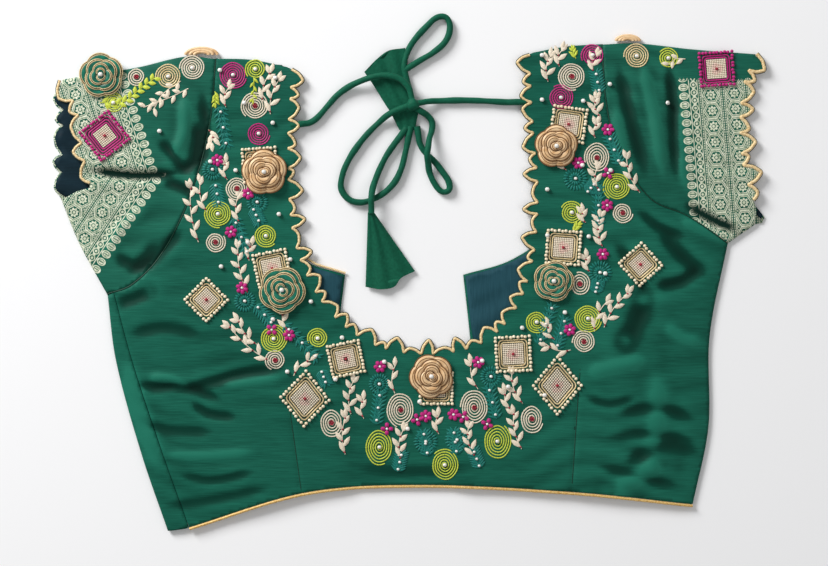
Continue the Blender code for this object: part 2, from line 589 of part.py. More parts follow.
def knot(name, colour):
    """The tied knot as a small faceted lump."""
    sides, rings = 10, 5
    corners = []
    for ring in range(1, rings):
        tilt = math.pi * ring / rings - math.pi / 2
        for side in range(sides):
            turn = 2 * math.pi * side / sides
            unit = (math.cos(tilt) * math.cos(turn), math.cos(tilt) * math.sin(turn), math.sin(tilt))
            corners.append([c + r * u for c, r, u in zip(KNOT_CENTRE, KNOT_RADII, unit)])
    faces = rings_to_faces(rings - 1, sides)
    faces += [list(range(sides))[::-1], [len(corners) - sides + k for k in range(sides)]]
    return add_mesh(name, corners, faces, colour)


def tassel(name, sections, colour):
    """A pressed cloth cone: a rounded ring of cloth along each line, joined in order."""
    turn = np.linspace(0, math.pi, TASSEL_STEPS + 1)
    share, arch = (1 - np.cos(turn)) / 2, np.sin(turn)
    rings = []
    for lowest, highest, line in sections:
        line = np.array(line, float)
        across = at_lengths(line, share * gone_along(line)[-1])
        middle, half = (highest + lowest) / 2, (highest - lowest) / 2
        rings += [np.column_stack([across, middle + half * arch]),
                  np.column_stack([across, middle - half * arch])[-2:0:-1]]
    faces = rings_to_faces(len(sections), 2 * TASSEL_STEPS)
    made = add_mesh(name, np.vstack(rings), [face[::-1] for face in faces], colour)
    thicken(made, TASSEL_CLOTH)
    return made


# ---- The blouse ----------------------------------------------------------------------------
def build():
    silk = material("green silk", (0.012, 0.10, 0.06), 0.5)
    sleeve_silk = material("green silk with woven border", (0.025, 0.15, 0.09), 0.5)
    teal = material("teal lining", (0.02, 0.08, 0.09), 0.6)
    dark_teal = material("dark teal lining", (0.01, 0.03, 0.035), 0.6)
    gold = material("cream and gold piping", (0.8, 0.62, 0.32), 0.45)
    rose_cloth = material("peach rose cloth", (0.75, 0.5, 0.28), 0.6)
    green_rose = material("green rose cloth", (0.01, 0.18, 0.13), 0.5)
    dori_cloth = material("green cord cloth", (0.015, 0.15, 0.09), 0.5)

    # The back, with its neck edge set in from the piping.
    neck = scalloped(NECK, NECK_PITCH, NECK_REACH)
    neck_edge = offset(neck, -(PIPING / 2 + GAP))
    side_seam, side_right = curve(SIDE_SEAM_LEFT), curve(SIDE_RIGHT)
    hem, shoulder_left, shoulder_right = curve(HEM), curve(SHOULDER_LEFT), curve(SHOULDER_RIGHT)
    armhole_left, armhole_right = curve(ARMHOLE_LEFT), curve(ARMHOLE_RIGHT)
    outline = np.vstack([neck_edge, shoulder_right, armhole_right[1:], side_right[1:], hem[1:],
                         side_seam[-2::-1], armhole_left[-2::-1], shoulder_left[1:]])[::-1]
    back_seams = [shoulder_left, shoulder_right, side_right]

    def back_height(x, y):
        return upper_height(x, y, back_seams)

    raised_panel("back", outline, back_height, silk)
    edge_strip("neck_piping", neck, PIPING, PIPING_HEIGHT, back_height, gold)
    hem_middle = offset(hem, HEM_STRIP / 2 + GAP)
    edge_strip("hem_piping", hem_middle, HEM_STRIP, CLOTH, back_height, gold)

    # The right front lies flat. The left one folds up over the side to the side seam.
    centre = CLOTH / 2
    front_right = np.vstack([curve(NECKLINE_RIGHT), curve(CENTRE_EDGE_RIGHT)[1:], curve(FRONT_HEM_RIGHT)[1:-1],
                             side_right[::-1], armhole_right[-2::-1], shoulder_right[-2:1:-1]])
    flat_panel("front_right", front_right, centre, CLOTH, silk)
    side_fold = curve(SIDE_LEFT) + (FOLD_OUT, 0)
    strip_edge = offset(side_seam, -SEAM)
    over = np.vstack([side_fold[-1:], STRIP_FOOT[::-1], strip_edge[::-1], side_fold[:1]])
    under = np.vstack([side_fold[:1], armhole_left[-2::-1], shoulder_left[1:-2], curve(NECKLINE_LEFT),
                       curve(CENTRE_EDGE_LEFT)[1:], curve(FRONT_HEM_LEFT)[1:-1], side_fold[-1:]])
    folded_panel("front_left", over, under, side_fold, upper_height, True, silk)

    # Sleeves: one cut each, folded along the top of the arm and seamed under it.
    sleeve_seams = [curve(UNDERARM_LEFT), curve(UNDERARM_RIGHT)]

    def sleeve_height(x, y):
        return upper_height(x, y, sleeve_seams)

    inside_left = scalloped(INSIDE_CUFF_LEFT, INSIDE_CUFF_PITCH, INSIDE_CUFF_REACH, -1)
    cuff_left = scalloped(CUFF_LEFT, CUFF_LEFT_PITCH, CUFF_LEFT_REACH, -1)
    cuff_right = scalloped(CUFF_RIGHT, CUFF_RIGHT_PITCH, CUFF_RIGHT_REACH)
    sides = (
        ("left", -1, SLEEVE_TOP_LEFT, cuff_left, CUFF_TURN_LEFT, armhole_left, sleeve_seams[0], inside_left),
        ("right", 1, SLEEVE_TOP_RIGHT[::-1], cuff_right, CUFF_TURN_RIGHT, armhole_right, sleeve_seams[1],
         INSIDE_CUFF_RIGHT),
    )
    for side, outside, top, piping, turn, armhole, underarm, inside_cuff in sides:
        fold = curve(top) - (0, FOLD_OUT)
        hem_edge = offset(piping, -outside * (PIPING / 2 + GAP))
        armhole = offset(armhole, outside * SEAM)
        armhole[0] = fold[-1] + (outside * SEAM, 0)
        fold[-1] = armhole[0]
        over = np.vstack([armhole, underarm[1:], turn[::-1], hem_edge[:0:-1], fold[:1]])
        under = np.vstack([fold[:1], inside_cuff, underarm[:0:-1], armhole[::-1]])
        folded_panel(f"sleeve_{side}", over, under, fold, sleeve_height, False, sleeve_silk)
        edge_strip(f"sleeve_piping_{side}", piping, PIPING, PIPING_HEIGHT, upper_height, gold)

    # What shows of the linings, each lying on the lower layer.
    lining_middle = CLOTH + GAP + LINING / 2
    fronts = (
        ("left", -1, NECKLINE_LEFT, CENTRE_EDGE_LEFT, NECK_SHOWS_LEFT, FRONT_LINING_HIDDEN_LEFT),
        ("right", 1, NECKLINE_RIGHT, CENTRE_EDGE_RIGHT, NECK_SHOWS_RIGHT, FRONT_LINING_HIDDEN_RIGHT),
    )
    for side, inward, neckline, centre_edge, shows, hidden in fronts:
        edge = np.vstack([curve(neckline)[-shows:], curve(centre_edge)[1:CENTRE_SHOWS]])
        lining = np.vstack([offset(edge, inward * LINING_INSET), hidden])
        flat_panel(f"front_lining_{side}", lining, lining_middle, LINING, teal)
    sleeve_lining = np.vstack([offset(inside_left[1:], LINING_INSET), SLEEVE_LINING_HIDDEN_LEFT])
    flat_panel("sleeve_lining_left", sleeve_lining, lining_middle, LINING, dark_teal)
    flat_panel("sleeve_lining_right", SLEEVE_LINING_RIGHT, lining_middle, LINING, dark_teal)
    front_piping = offset(curve(NECKLINE_LEFT), PIPING / 2 + GAP)[-NECK_SHOWS_LEFT:]
    edge_strip("front_neck_piping", front_piping, PIPING, PIPING_HEIGHT,
               lambda x, y: np.full_like(x, PIPING_HEIGHT / 2 + GAP), gold)

    # Roses, dori and tassels.
    for name, x, y, radius in rose_places():
        green = name in ("rose_side_left", "rose_side_right", "rose_sleeve")
        rose(name, x, y, radius, upper_height, green_rose if green else rose_cloth)
    for name, x, chord_y, half_width, reach in peeking_places():
        peeking_rose(name, x, chord_y, half_width, reach, rose_cloth)
    for name, route in CORD_ROUTES.items():
        cord(name, route, dori_cloth)
    knot("dori_knot", dori_cloth)
    for name, sections in TASSELS.items():
        tassel(name, sections, dori_cloth)


for old in list(bpy.data.objects):
    bpy.data.objects.remove(old, do_unlink=True)
build()
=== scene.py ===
# %% [markdown]
# # A choli blouse laid flat, its back uppermost
# The blouse is green silk, embroidered round a deep scalloped neck and tied with a cord.
# The solid model gives every piece its place; this file gives it the look of cloth and thread.
# All sizes are in millimetres until the last moment, when a mesh is made in metres.

# %% Load the solid model
import math

import bpy
import numpy as np
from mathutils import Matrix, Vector
from mathutils.geometry import delaunay_2d_cdt


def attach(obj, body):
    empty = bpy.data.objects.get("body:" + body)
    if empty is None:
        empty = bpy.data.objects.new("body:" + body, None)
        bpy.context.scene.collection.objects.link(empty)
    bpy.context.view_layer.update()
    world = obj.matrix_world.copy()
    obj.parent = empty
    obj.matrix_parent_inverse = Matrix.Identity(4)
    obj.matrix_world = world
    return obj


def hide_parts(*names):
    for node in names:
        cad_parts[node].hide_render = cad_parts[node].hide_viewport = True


MM = 0.001
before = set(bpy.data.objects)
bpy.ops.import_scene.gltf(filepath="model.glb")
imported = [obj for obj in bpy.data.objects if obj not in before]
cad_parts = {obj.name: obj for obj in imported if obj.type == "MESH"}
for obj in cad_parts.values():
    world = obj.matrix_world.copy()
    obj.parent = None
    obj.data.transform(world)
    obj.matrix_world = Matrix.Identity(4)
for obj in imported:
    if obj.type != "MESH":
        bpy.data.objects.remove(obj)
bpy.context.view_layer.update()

# %% [markdown]
# ## Sizes
# The outline repeats the solid model's: landmarks, and smooth edges through a few points each.
# The scallops are a rule on a smooth line, so only that line, a spacing and a reach are needed.

# %% Sizes of the cloth and the outline
# Driving sizes
CLOTH = 1.2              # thickness of the outer cloth with its backing
LINING = 1.0             # thickness of a lining
GAP = 0.3                # air between two pieces that meet
SEAM = 0.4               # air across a seam, edge to edge
PIPING = 2.4             # width of the piping cord
PIPING_HEIGHT = 2.0
HEM_STRIP = 2.8          # width of the flat strip on the hem
EDGE_HEIGHT = 3.0        # middle of the upper cloth where the garment is closed at its edge
OPEN_HEIGHT = 4.3        # middle of the upper cloth further in
EDGE_REACH = 30.0        # how far in from a closed edge the upper cloth is still rising
SEAM_DIP = 0.9           # how far the upper cloth comes down onto the lower one at a seam
SEAM_DIP_REACH = 5.0
FOLD_RADIUS = (EDGE_HEIGHT - CLOTH / 2) / 2
FOLD_STEPS = 4           # facets round a fold
FOLD_OUT = FOLD_RADIUS + CLOTH / 2
CENTRE_SINK = 3.1        # the back sinks where no front lies under it
CENTRE_X = -3.0
CENTRE_FLAT = 26.0
CENTRE_REACH = 32.0
CURVE_STEP = 13.0        # spacing of the points on a long edge
BOW = 0.11               # how far a scallop's side bows out, as a share of its length
BOW_MIN = 5.0            # shorter sides stay straight
MITRE = 2.0              # longest mitre, in widths

# Outline of the garment
# The garment lies a little turned: its right half is higher than its left by twice the tilt at
# the shoulders, and by twice the armpit tilt lower down.
NECK_HALF = 101          # half widths, from the middle line
SHOULDER_HALF = 160
CUFF_HALF = 287
ARMPIT_HALF = 257
ARMPIT_SHIFT = 7         # the body lies this far to the right of the shoulders
SHOULDER_Y = 191
TILT = 6
NECK_DROP = 7            # the shoulder seam falls this much towards the neck
SLEEVE_DROP_LEFT = 17    # and this much towards the cuff
SLEEVE_DROP_RIGHT = 8
CUFF_OPENING_LEFT = 102
CUFF_OPENING_RIGHT = 141
ARMPIT_Y = 11
ARMPIT_TILT = 21
SIDE_LENGTH_LEFT = 196
SIDE_LENGTH_RIGHT = 216
SIDE_TAPER_LEFT = 50
SIDE_TAPER_RIGHT = 29
SIDE_SEAM_IN = 18        # the left side seam's foot, in from the fold
CENTRE_GAP = 98          # the fronts spread this far apart at the neck
CENTRE_GAP_FOOT = 116
CENTRE_TOP = 6
CENTRE_FOOT = -163
ARMHOLE_FULLNESS = 1.8   # 2 is a quarter of an ellipse, more is squarer

# Landmarks, where one edge of the garment meets the next.
ARM_TOP_LEFT = (-SHOULDER_HALF, SHOULDER_Y - TILT)
ARM_TOP_RIGHT = (SHOULDER_HALF, SHOULDER_Y + TILT)
NECK_TOP_LEFT = (-NECK_HALF, ARM_TOP_LEFT[1] - NECK_DROP)
NECK_TOP_RIGHT = (NECK_HALF + 2, ARM_TOP_RIGHT[1] - NECK_DROP)
CUFF_TOP_LEFT = (-CUFF_HALF, ARM_TOP_LEFT[1] - SLEEVE_DROP_LEFT)
CUFF_TOP_RIGHT = (CUFF_HALF, ARM_TOP_RIGHT[1] - SLEEVE_DROP_RIGHT)
CUFF_FOOT_LEFT = (-CUFF_HALF, CUFF_TOP_LEFT[1] - CUFF_OPENING_LEFT)
CUFF_FOOT_RIGHT = (CUFF_HALF, CUFF_TOP_RIGHT[1] - CUFF_OPENING_RIGHT)
ARMPIT_LEFT = (ARMPIT_SHIFT - ARMPIT_HALF, ARMPIT_Y - ARMPIT_TILT)
ARMPIT_RIGHT = (ARMPIT_SHIFT + ARMPIT_HALF, ARMPIT_Y + ARMPIT_TILT)
FOLD_FOOT_LEFT = (ARMPIT_LEFT[0] + SIDE_TAPER_LEFT, ARMPIT_LEFT[1] - SIDE_LENGTH_LEFT)
SEAM_FOOT_LEFT = (FOLD_FOOT_LEFT[0] + SIDE_SEAM_IN, FOLD_FOOT_LEFT[1] + 3)
SIDE_FOOT_RIGHT = (ARMPIT_RIGHT[0] - SIDE_TAPER_RIGHT, ARMPIT_RIGHT[1] - SIDE_LENGTH_RIGHT)
CENTRE_TOP_LEFT = (-4 - CENTRE_GAP / 2, CENTRE_TOP)
CENTRE_TOP_RIGHT = (-4 + CENTRE_GAP / 2, CENTRE_TOP)
CENTRE_FOOT_LEFT = (1 - CENTRE_GAP_FOOT / 2, CENTRE_FOOT)
CENTRE_FOOT_RIGHT = (1 + CENTRE_GAP_FOOT / 2, CENTRE_FOOT)


def quarter(upright, level, fullness, steps=6):
    """A quarter of a rounded square: it leaves one end upright and reaches the other level."""
    t = np.linspace(0, math.pi / 2, steps + 1)
    across, down = np.abs(np.cos(t)) ** (2 / fullness), np.abs(np.sin(t)) ** (2 / fullness)
    x = level[0] + (upright[0] - level[0]) * across
    y = upright[1] + (level[1] - upright[1]) * down
    return tuple(zip(x.tolist(), y.tolist()))


# Long edges: smooth curves through a few points each.
SHOULDER_LEFT = (ARM_TOP_LEFT, (-130, 184), NECK_TOP_LEFT)
SHOULDER_RIGHT = (NECK_TOP_RIGHT, (130, 195), ARM_TOP_RIGHT)
SLEEVE_TOP_LEFT = (CUFF_TOP_LEFT, (-225, 178), (-185, 187), ARM_TOP_LEFT)
SLEEVE_TOP_RIGHT = (ARM_TOP_RIGHT, (188, 198), (235, 193), CUFF_TOP_RIGHT)
ARMHOLE_LEFT = quarter(ARM_TOP_LEFT, ARMPIT_LEFT, ARMHOLE_FULLNESS)
# The body folds up over the foot of the right armhole.
ARMHOLE_RIGHT = (ARM_TOP_RIGHT, (163, 150), (173, 110), (200, 69), (230, 55), ARMPIT_RIGHT)
SIDE_LEFT = (ARMPIT_LEFT, (-243, -65), (-222, -142), FOLD_FOOT_LEFT)
SIDE_SEAM_LEFT = ((ARMPIT_LEFT[0] + 6, ARMPIT_LEFT[1] + 1), (-229, -65), (-206, -135),
                  SEAM_FOOT_LEFT)
SIDE_RIGHT = (ARMPIT_RIGHT, (249, -45), (248, -120), SIDE_FOOT_RIGHT)
HEM = (SIDE_FOOT_RIGHT, (140, -174), (10, -168), (-85, -174), SEAM_FOOT_LEFT)
UNDERARM_LEFT = (ARMPIT_LEFT, (-273, 32), CUFF_FOOT_LEFT)
UNDERARM_RIGHT = (ARMPIT_RIGHT, (274, 39), CUFF_FOOT_RIGHT)

# The scalloped edges: a smooth line through the notches, the spacing of the lobes and how far
# they stand out. No two lobes are alike, so both vary by a share of themselves.
NECK_LOWEST = (10, -60)
NECK_BOWL_TOP = 80
NECK_BOWL_LEFT = quarter((-100, NECK_BOWL_TOP), NECK_LOWEST, 2.1)
NECK_BOWL_RIGHT = quarter((107, NECK_BOWL_TOP), NECK_LOWEST, 2.7)
NECK = ((4 - NECK_HALF, NECK_TOP_LEFT[1] - 2), (-100, 130), *NECK_BOWL_LEFT,
        *NECK_BOWL_RIGHT[-2::-1], (103, 130), (NECK_HALF - 1, NECK_TOP_RIGHT[1] - 2))
NECK_PITCH = 13.5
NECK_REACH = 8.5
CUFF_LEFT = ((-CUFF_HALF - 2, CUFF_TOP_LEFT[1] - 1), (-275, 145), (-270, 112), (-264, 82))
CUFF_LEFT_PITCH = 17.0
CUFF_LEFT_REACH = 8.0
CUFF_RIGHT = ((CUFF_HALF + 1, CUFF_TOP_RIGHT[1]), (277, 165), (274, 125), (277, 92), (285, 68))
CUFF_RIGHT_PITCH = 14.0
CUFF_RIGHT_REACH = 10.0
INSIDE_CUFF_LEFT = ((-288, 163), (-289, 115), (-290, 72))
INSIDE_CUFF_PITCH = 19.0
INSIDE_CUFF_REACH = 6.0
UNEVEN_PLACE = 0.17
UNEVEN_REACH = 0.45

# Edge of each upper sleeve between its piping and the foot of the cuff.
CUFF_TURN_LEFT = ((-264, 78), (-275, 75), (-284, 70))
CUFF_TURN_RIGHT = ((288, 60),)
INSIDE_CUFF_RIGHT = ((283, 180), (272, 165), (268, 120), (271, 82), (288, 60), (295, 54), (293, 49))

# Fronts: neckline from the shoulder to the centre front, centre edge downwards, hem outwards.
NECKLINE_LEFT = ((-105, 180), (-107, 120), (-105, 60), (-88, 20), CENTRE_TOP_LEFT)
NECKLINE_RIGHT = ((112, 191), (118, 120), (112, 42), (86, 19), CENTRE_TOP_RIGHT)
CENTRE_EDGE_LEFT = (CENTRE_TOP_LEFT, (-58, -40), (-59, -110), CENTRE_FOOT_LEFT)
CENTRE_EDGE_RIGHT = (CENTRE_TOP_RIGHT, (51, -50), CENTRE_FOOT_RIGHT)
FRONT_HEM_LEFT = (CENTRE_FOOT_LEFT, (-125, -177), FOLD_FOOT_LEFT)
FRONT_HEM_RIGHT = (CENTRE_FOOT_RIGHT, (140, -169), SIDE_FOOT_RIGHT)
STRIP_FOOT = ((-184, -204), (-190, -205))

# Linings follow the edges that show. These are their hidden corners, under the upper layer.
LINING_INSET = 1.6
NECK_SHOWS_LEFT = 4      # points of the neckline along which the front shows at the neck
NECK_SHOWS_RIGHT = 7
CENTRE_SHOWS = 4
FRONT_LINING_HIDDEN_LEFT = ((-63, -56), (-80, -36), (-96, -2))
FRONT_LINING_HIDDEN_RIGHT = ((56, -64), (84, -50), (104, -24), (115, 8))
SLEEVE_LINING_HIDDEN_LEFT = ((-276, 66), (-250, 80), (-248, 100), (-262, 118), (-264, 150))
SLEEVE_LINING_RIGHT = ((273, 81), (281, 70), (288, 62), (293, 56), (292, 52), (289, 55), (283, 62),
                       (272, 65), (262, 72))

# The largest folds and swells of the upper layer
#          x       y   half_length  half_width  turn_deg  height
FOLDS = (
    (-216.0, 98.0, 46.0, 9.0, -2.0, 1.5),       # roll of cloth above the deep sleeve crease
    (-222.0, 87.0, 40.0, 4.5, -3.0, -1.6),      # the deep crease in the left sleeve
    (-212.0, 142.0, 40.0, 20.0, 0.0, 0.8),
    (-232.0, 54.0, 34.0, 13.0, 35.0, 0.9),
    (186.0, 140.0, 46.0, 8.0, 80.0, 1.2),       # soft pleats down the right sleeve
    (209.0, 138.0, 44.0, 7.0, 84.0, 1.0),
    (234.0, 130.0, 40.0, 9.0, 88.0, 0.9),
    (257.0, 120.0, 44.0, 9.0, 90.0, 0.8),
    (-172.0, -40.0, 60.0, 42.0, 70.0, 0.7),
    (-168.0, -84.0, 44.0, 7.0, -8.0, 0.9),
    (-150.0, -158.0, 34.0, 8.0, -6.0, 0.9),
    (175.0, -50.0, 70.0, 40.0, 80.0, 0.6),
    (196.0, -32.0, 26.0, 9.0, 64.0, 0.9),
    (176.0, -88.0, 30.0, 8.0, -20.0, 0.9),
    (205.0, -145.0, 34.0, 9.0, 22.0, 0.9),
)

# Fabric roses
# A rose on the back is placed by its distance along the neck from the left shoulder and its
# distance out from the neck's edge. The others are placed along the top of a sleeve, from the
# cuff, the sleeve's own rose also by its distance down.
#   name               along  out  radius
NECK_ROSES = (
    ("rose_shoulder_left", 85, 19, 18.0),
    ("rose_side_left", 175, 23, 18.5),
    ("rose_centre", 303, 18, 17.5),
    ("rose_side_right", 418, 20, 16.0),
    ("rose_shoulder_right", 523, 17, 17.0),
)
SLEEVE_ROSE = ("rose_sleeve", 33, 2, 17.5)        # name, along, down, radius
PEEK_GAP = 1.5
#   name              side  along  half_width  reach
PEEKS = (("rose_front_left", "left", 117, 15.0, 7.0), ("rose_front_right", "right", 106, 11.0, 5.5))

# The dori: routes of the cord's centre, as (x, y, z)
CORD_ROUTES = {
    "dori_left": ((-88, 131, 4), (-82, 132, 3), (-76, 136, 3), (-68, 145, 3), (-59, 155, 3),
                  (-49, 162, 4.2), (-40, 166, 7), (-31, 169, 8.3), (-22, 170.5, 8.8),
                  (-13, 169.5, 9.3), (-6, 166.5, 9.6), (0, 160, 9.6), (2, 153, 9.4)),
    "dori_right": ((89, 149, 4), (80, 149, 3), (62, 150, 3), (44, 150.5, 3), (26, 150, 3),
                   (17, 149.5, 5.4), (9, 148, 8)),
    "dori_loop_top": ((1, 157, 3), (-2, 168, 3), (-4, 179, 3), (-1, 191, 3), (5, 201, 3),
                      (14, 211, 3), (23, 219, 3), (31, 219, 3), (34, 210, 3), (30, 199, 3),
                      (20, 190, 3), (10, 184, 3), (2, 179, 3)),
    "dori_loop_lower": ((-4, 144, 8.6), (-12, 141, 8), (-19, 137, 5.6), (-26, 131, 3),
                        (-35, 122, 3), (-43, 112, 3), (-50, 101, 3), (-55, 89, 3), (-56, 77, 3),
                        (-49, 68, 3), (-39, 66, 3), (-29, 69, 3), (-19, 75, 3), (-11, 84, 3),
                        (-6, 95, 3), (-3, 107, 3), (0, 121, 3)),
    "dori_tail": ((-7, 121, 3), (-13, 113, 3), (-19, 104, 3), (-24, 94, 3), (-28, 84, 3.4),
                  (-30, 77, 7.4), (-31, 69, 10.9), (-31, 61.6, 9.6)),
    "dori_loop_right": ((10, 141, 7.6), (15, 138, 4.6), (19, 133, 3.1), (19, 126, 3.2),
                        (17, 119, 6.8), (16, 112, 10), (15, 105, 10.4), (16, 98, 6.2),
                        (17, 91, 3.2), (21, 82, 3), (27, 75, 3), (33, 76, 3), (33, 83, 3),
                        (28, 91, 3), (21, 100, 3), (13, 108, 3), (9, 115, 3), (8, 121, 3)),
}
KNOT_CENTRE = (3.4, 146.6, 9.2)
KNOT_RADII = (5.0, 5.2, 4.2)

# %% [markdown]
# ## Plane geometry
# A smooth edge is a cubic from point to point whose slopes follow the neighbouring points.
# Offsetting, distance and inside tests are whole-array sums, so fine meshes stay quick.

# %% Curves, offsets and distances
def curve(points, step=CURVE_STEP):
    """Points on a smooth curve through the given ones, which stay among them."""
    knots = np.array(points, float)
    ahead = np.vstack([knots[1:], 2 * knots[-1:] - knots[-2:-1]])
    behind = np.vstack([2 * knots[:1] - knots[1:2], knots[:-1]])
    tangent = ahead - behind
    tangent /= np.linalg.norm(tangent, axis=1)[:, None]
    made = []
    for here, there, leave, arrive in zip(knots[:-1], knots[1:], tangent[:-1], tangent[1:]):
        length = np.linalg.norm(there - here)
        count = max(1, round(length / step))
        t = (np.arange(count) / count)[:, None]
        made.append(here * (2 * t**3 - 3 * t**2 + 1) + there * (3 * t**2 - 2 * t**3)
                    + leave * length * (t**3 - 2 * t**2 + t) + arrive * length * (t**3 - t**2))
    made.append(knots[-1:])
    return np.vstack(made)


def gone_along(path):
    """Length of a path up to each of its points."""
    return np.concatenate([[0], np.cumsum(np.linalg.norm(np.diff(path, axis=0), axis=1))])


def at_lengths(path, wanted):
    """Points on a path at the wanted lengths along it."""
    gone = gone_along(path)
    return np.column_stack([np.interp(wanted, gone, values) for values in path.T])


def left_of(direction):
    """The unit vector to the left of each direction of travel."""
    turned = np.stack([-direction[..., 1], direction[..., 0]], axis=-1)
    return turned / np.linalg.norm(turned, axis=-1, keepdims=True)


def offset(path, distance):
    """The path moved to its left, mitred at its corners."""
    path = np.asarray(path, float)
    sides = left_of(np.diff(path, axis=0))
    before = np.vstack([sides[:1], sides])
    after = np.vstack([sides, sides[-1:]])
    middle = before + after
    middle /= np.linalg.norm(middle, axis=1)[:, None]
    stretch = 1 / np.maximum((middle * before).sum(axis=1), 1 / MITRE)
    return path + middle * stretch[:, None] * distance


def scalloped(points, pitch, reach, outside=1):
    """The middle of the piping round the lobes: notch, bowed side, tip, bowed side, and so on.

    The notches lie about a pitch apart on the smooth line through the points, and the tips stand
    out from it. outside is 1 where the open air is to the left of travel, and -1 to the right."""
    line = curve(points, pitch / 6)
    total = gone_along(line)[-1]
    count = round(total / pitch)
    lobe = np.arange(count)
    notch_at = (lobe + UNEVEN_PLACE * np.sin(2.4 * lobe)) / count * total
    tip_at = (lobe + 0.5 + UNEVEN_PLACE * np.sin(1.7 * lobe + 1)) / count * total
    reaches = reach * (1 + UNEVEN_REACH * np.sin(2.9 * lobe + 0.5))
    ahead = at_lengths(line, np.minimum(tip_at + 1, total)) - at_lengths(line, tip_at - 1)
    notches = at_lengths(line, notch_at)
    tips = at_lengths(line, tip_at) + left_of(ahead) * (outside * reaches)[:, None]
    corners = np.vstack([np.stack([notches, tips], axis=1).reshape(-1, 2), line[-1:]])
    made = []
    for here, there in zip(corners[:-1], corners[1:]):
        made.append(here)
        length = np.linalg.norm(there - here)
        if length > BOW_MIN:
            made.append((here + there) / 2 + left_of(there - here) * outside * BOW * length)
    made.append(corners[-1])
    return np.array(made)


def distance_to(path, x, y):
    """Distance from each (x, y) to the nearest point of a path."""
    start, end = path[:-1], path[1:]
    along = end - start
    px = np.asarray(x, float)[..., None] - start[:, 0]
    py = np.asarray(y, float)[..., None] - start[:, 1]
    share = np.clip((px * along[:, 0] + py * along[:, 1]) / (along**2).sum(axis=1), 0, 1)
    return np.hypot(px - share * along[:, 0], py - share * along[:, 1]).min(axis=-1)


def inside(outline, x, y):
    """True where (x, y) lies in the closed outline."""
    start = outline
    end = np.roll(outline, -1, axis=0)
    px, py = np.asarray(x)[..., None], np.asarray(y)[..., None]
    crosses = (start[:, 1] > py) != (end[:, 1] > py)
    rise = np.where(end[:, 1] == start[:, 1], 1.0, end[:, 1] - start[:, 1])
    at = start[:, 0] + (py - start[:, 1]) / rise * (end[:, 0] - start[:, 0])
    return (crosses & (px < at)).sum(axis=-1) % 2 == 1


def from_edge(edge, along, away):
    """Points at lengths along an edge and at distances to the right of travel."""
    line = curve(edge, 3.0)
    along, away = np.asarray(along, float), np.asarray(away, float)
    ahead = at_lengths(line, along + 2) - at_lengths(line, np.maximum(along - 2, 0))
    return at_lengths(line, along) - left_of(ahead) * away[:, None]


def rose_places():
    """Name, x, y and radius of every rose that is sewn on."""
    spots = from_edge(NECK, [row[1] for row in NECK_ROSES], [row[2] for row in NECK_ROSES])
    placed = [(row[0], float(x), float(y), row[3]) for row, (x, y) in zip(NECK_ROSES, spots)]
    name, along, down, radius = SLEEVE_ROSE
    x, y = from_edge(SLEEVE_TOP_LEFT, [along], [down])[0]
    return placed + [(name, float(x), float(y), radius)]


def peeking_places():
    """Name, x, chord's y, half width and reach of the roses that peek over a sleeve's top."""
    placed = []
    for name, side, along, half_width, reach in PEEKS:
        edge = SLEEVE_TOP_LEFT if side == "left" else SLEEVE_TOP_RIGHT[::-1]
        x, y = from_edge(edge, [along], [0])[0]
        placed.append((name, float(x), float(y) + PEEK_GAP, half_width, reach))
    return placed


def smoothstep(t):
    t = np.clip(t, 0, 1)
    return t * t * (3 - 2 * t)


# Height of the upper layer
CLOSED_EDGES = [curve(edge) for edge in (
    SHOULDER_LEFT, SLEEVE_TOP_LEFT, UNDERARM_LEFT, SIDE_LEFT,
    SHOULDER_RIGHT, SLEEVE_TOP_RIGHT, UNDERARM_RIGHT, SIDE_RIGHT)]


def upper_height(x, y, seams=()):
    """Middle of the upper cloth: it rises from the closed edges, with its folds, and sinks
    between the fronts. Along the seams that are given it comes down onto the lower cloth."""
    x, y = np.asarray(x, float), np.asarray(y, float)
    away = np.min([distance_to(edge, x, y) for edge in CLOSED_EDGES], axis=0)
    rise = 1 - (1 - np.clip(away / EDGE_REACH, 0, 1))**2
    swell = np.full_like(x, OPEN_HEIGHT - EDGE_HEIGHT)
    for mid_x, mid_y, half_length, half_width, turn, height in FOLDS:
        cos, sin = math.cos(math.radians(turn)), math.sin(math.radians(turn))
        along = ((x - mid_x) * cos + (y - mid_y) * sin) / half_length
        across = ((y - mid_y) * cos - (x - mid_x) * sin) / half_width
        swell = swell + height * np.exp(-along**2 - across**2)
    sink = CENTRE_SINK * smoothstep(1 - (np.abs(x - CENTRE_X) - CENTRE_FLAT) / CENTRE_REACH)
    height = EDGE_HEIGHT + rise * (swell - sink)
    for seam in seams:
        height = height - SEAM_DIP * np.exp(-distance_to(seam, x, y) / SEAM_DIP_REACH)
    return height


def grid_inside(outline, pitch):
    """Staggered points inside an outline, clear of its edge."""
    low, high = outline.min(axis=0), outline.max(axis=0)
    rows = np.arange(low[1] + pitch / 2, high[1], pitch * math.sqrt(0.75))
    points = [(x + (row % 2) * pitch / 2, y) for row, y in enumerate(rows)
              for x in np.arange(low[0] + pitch / 4, high[0], pitch)]
    x, y = np.array(points).T
    closed = np.vstack([outline, outline[:1]])
    keep = inside(outline, x, y) & (distance_to(closed, x, y) > pitch * 0.4)
    return np.stack([x, y], axis=1)[keep]


def fill(outline, extra=(), lines=()):
    """Triangles that fill an outline, with extra corners inside it and lines kept as edges."""
    corners = [tuple(point) for point in outline]
    edges = [(i, (i + 1) % len(corners)) for i in range(len(corners))]
    ring = list(range(len(corners)))
    corners += [tuple(point) for point in extra]
    for line in lines:
        first = len(corners)
        corners += [tuple(point) for point in line]
        edges += [(first + i, first + i + 1) for i in range(len(line) - 1)]
    found = delaunay_2d_cdt([Vector(corner) for corner in corners], edges, [ring], 1, 1e-4)
    return np.array([tuple(corner) for corner in found[0]]), [list(face) for face in found[2]]

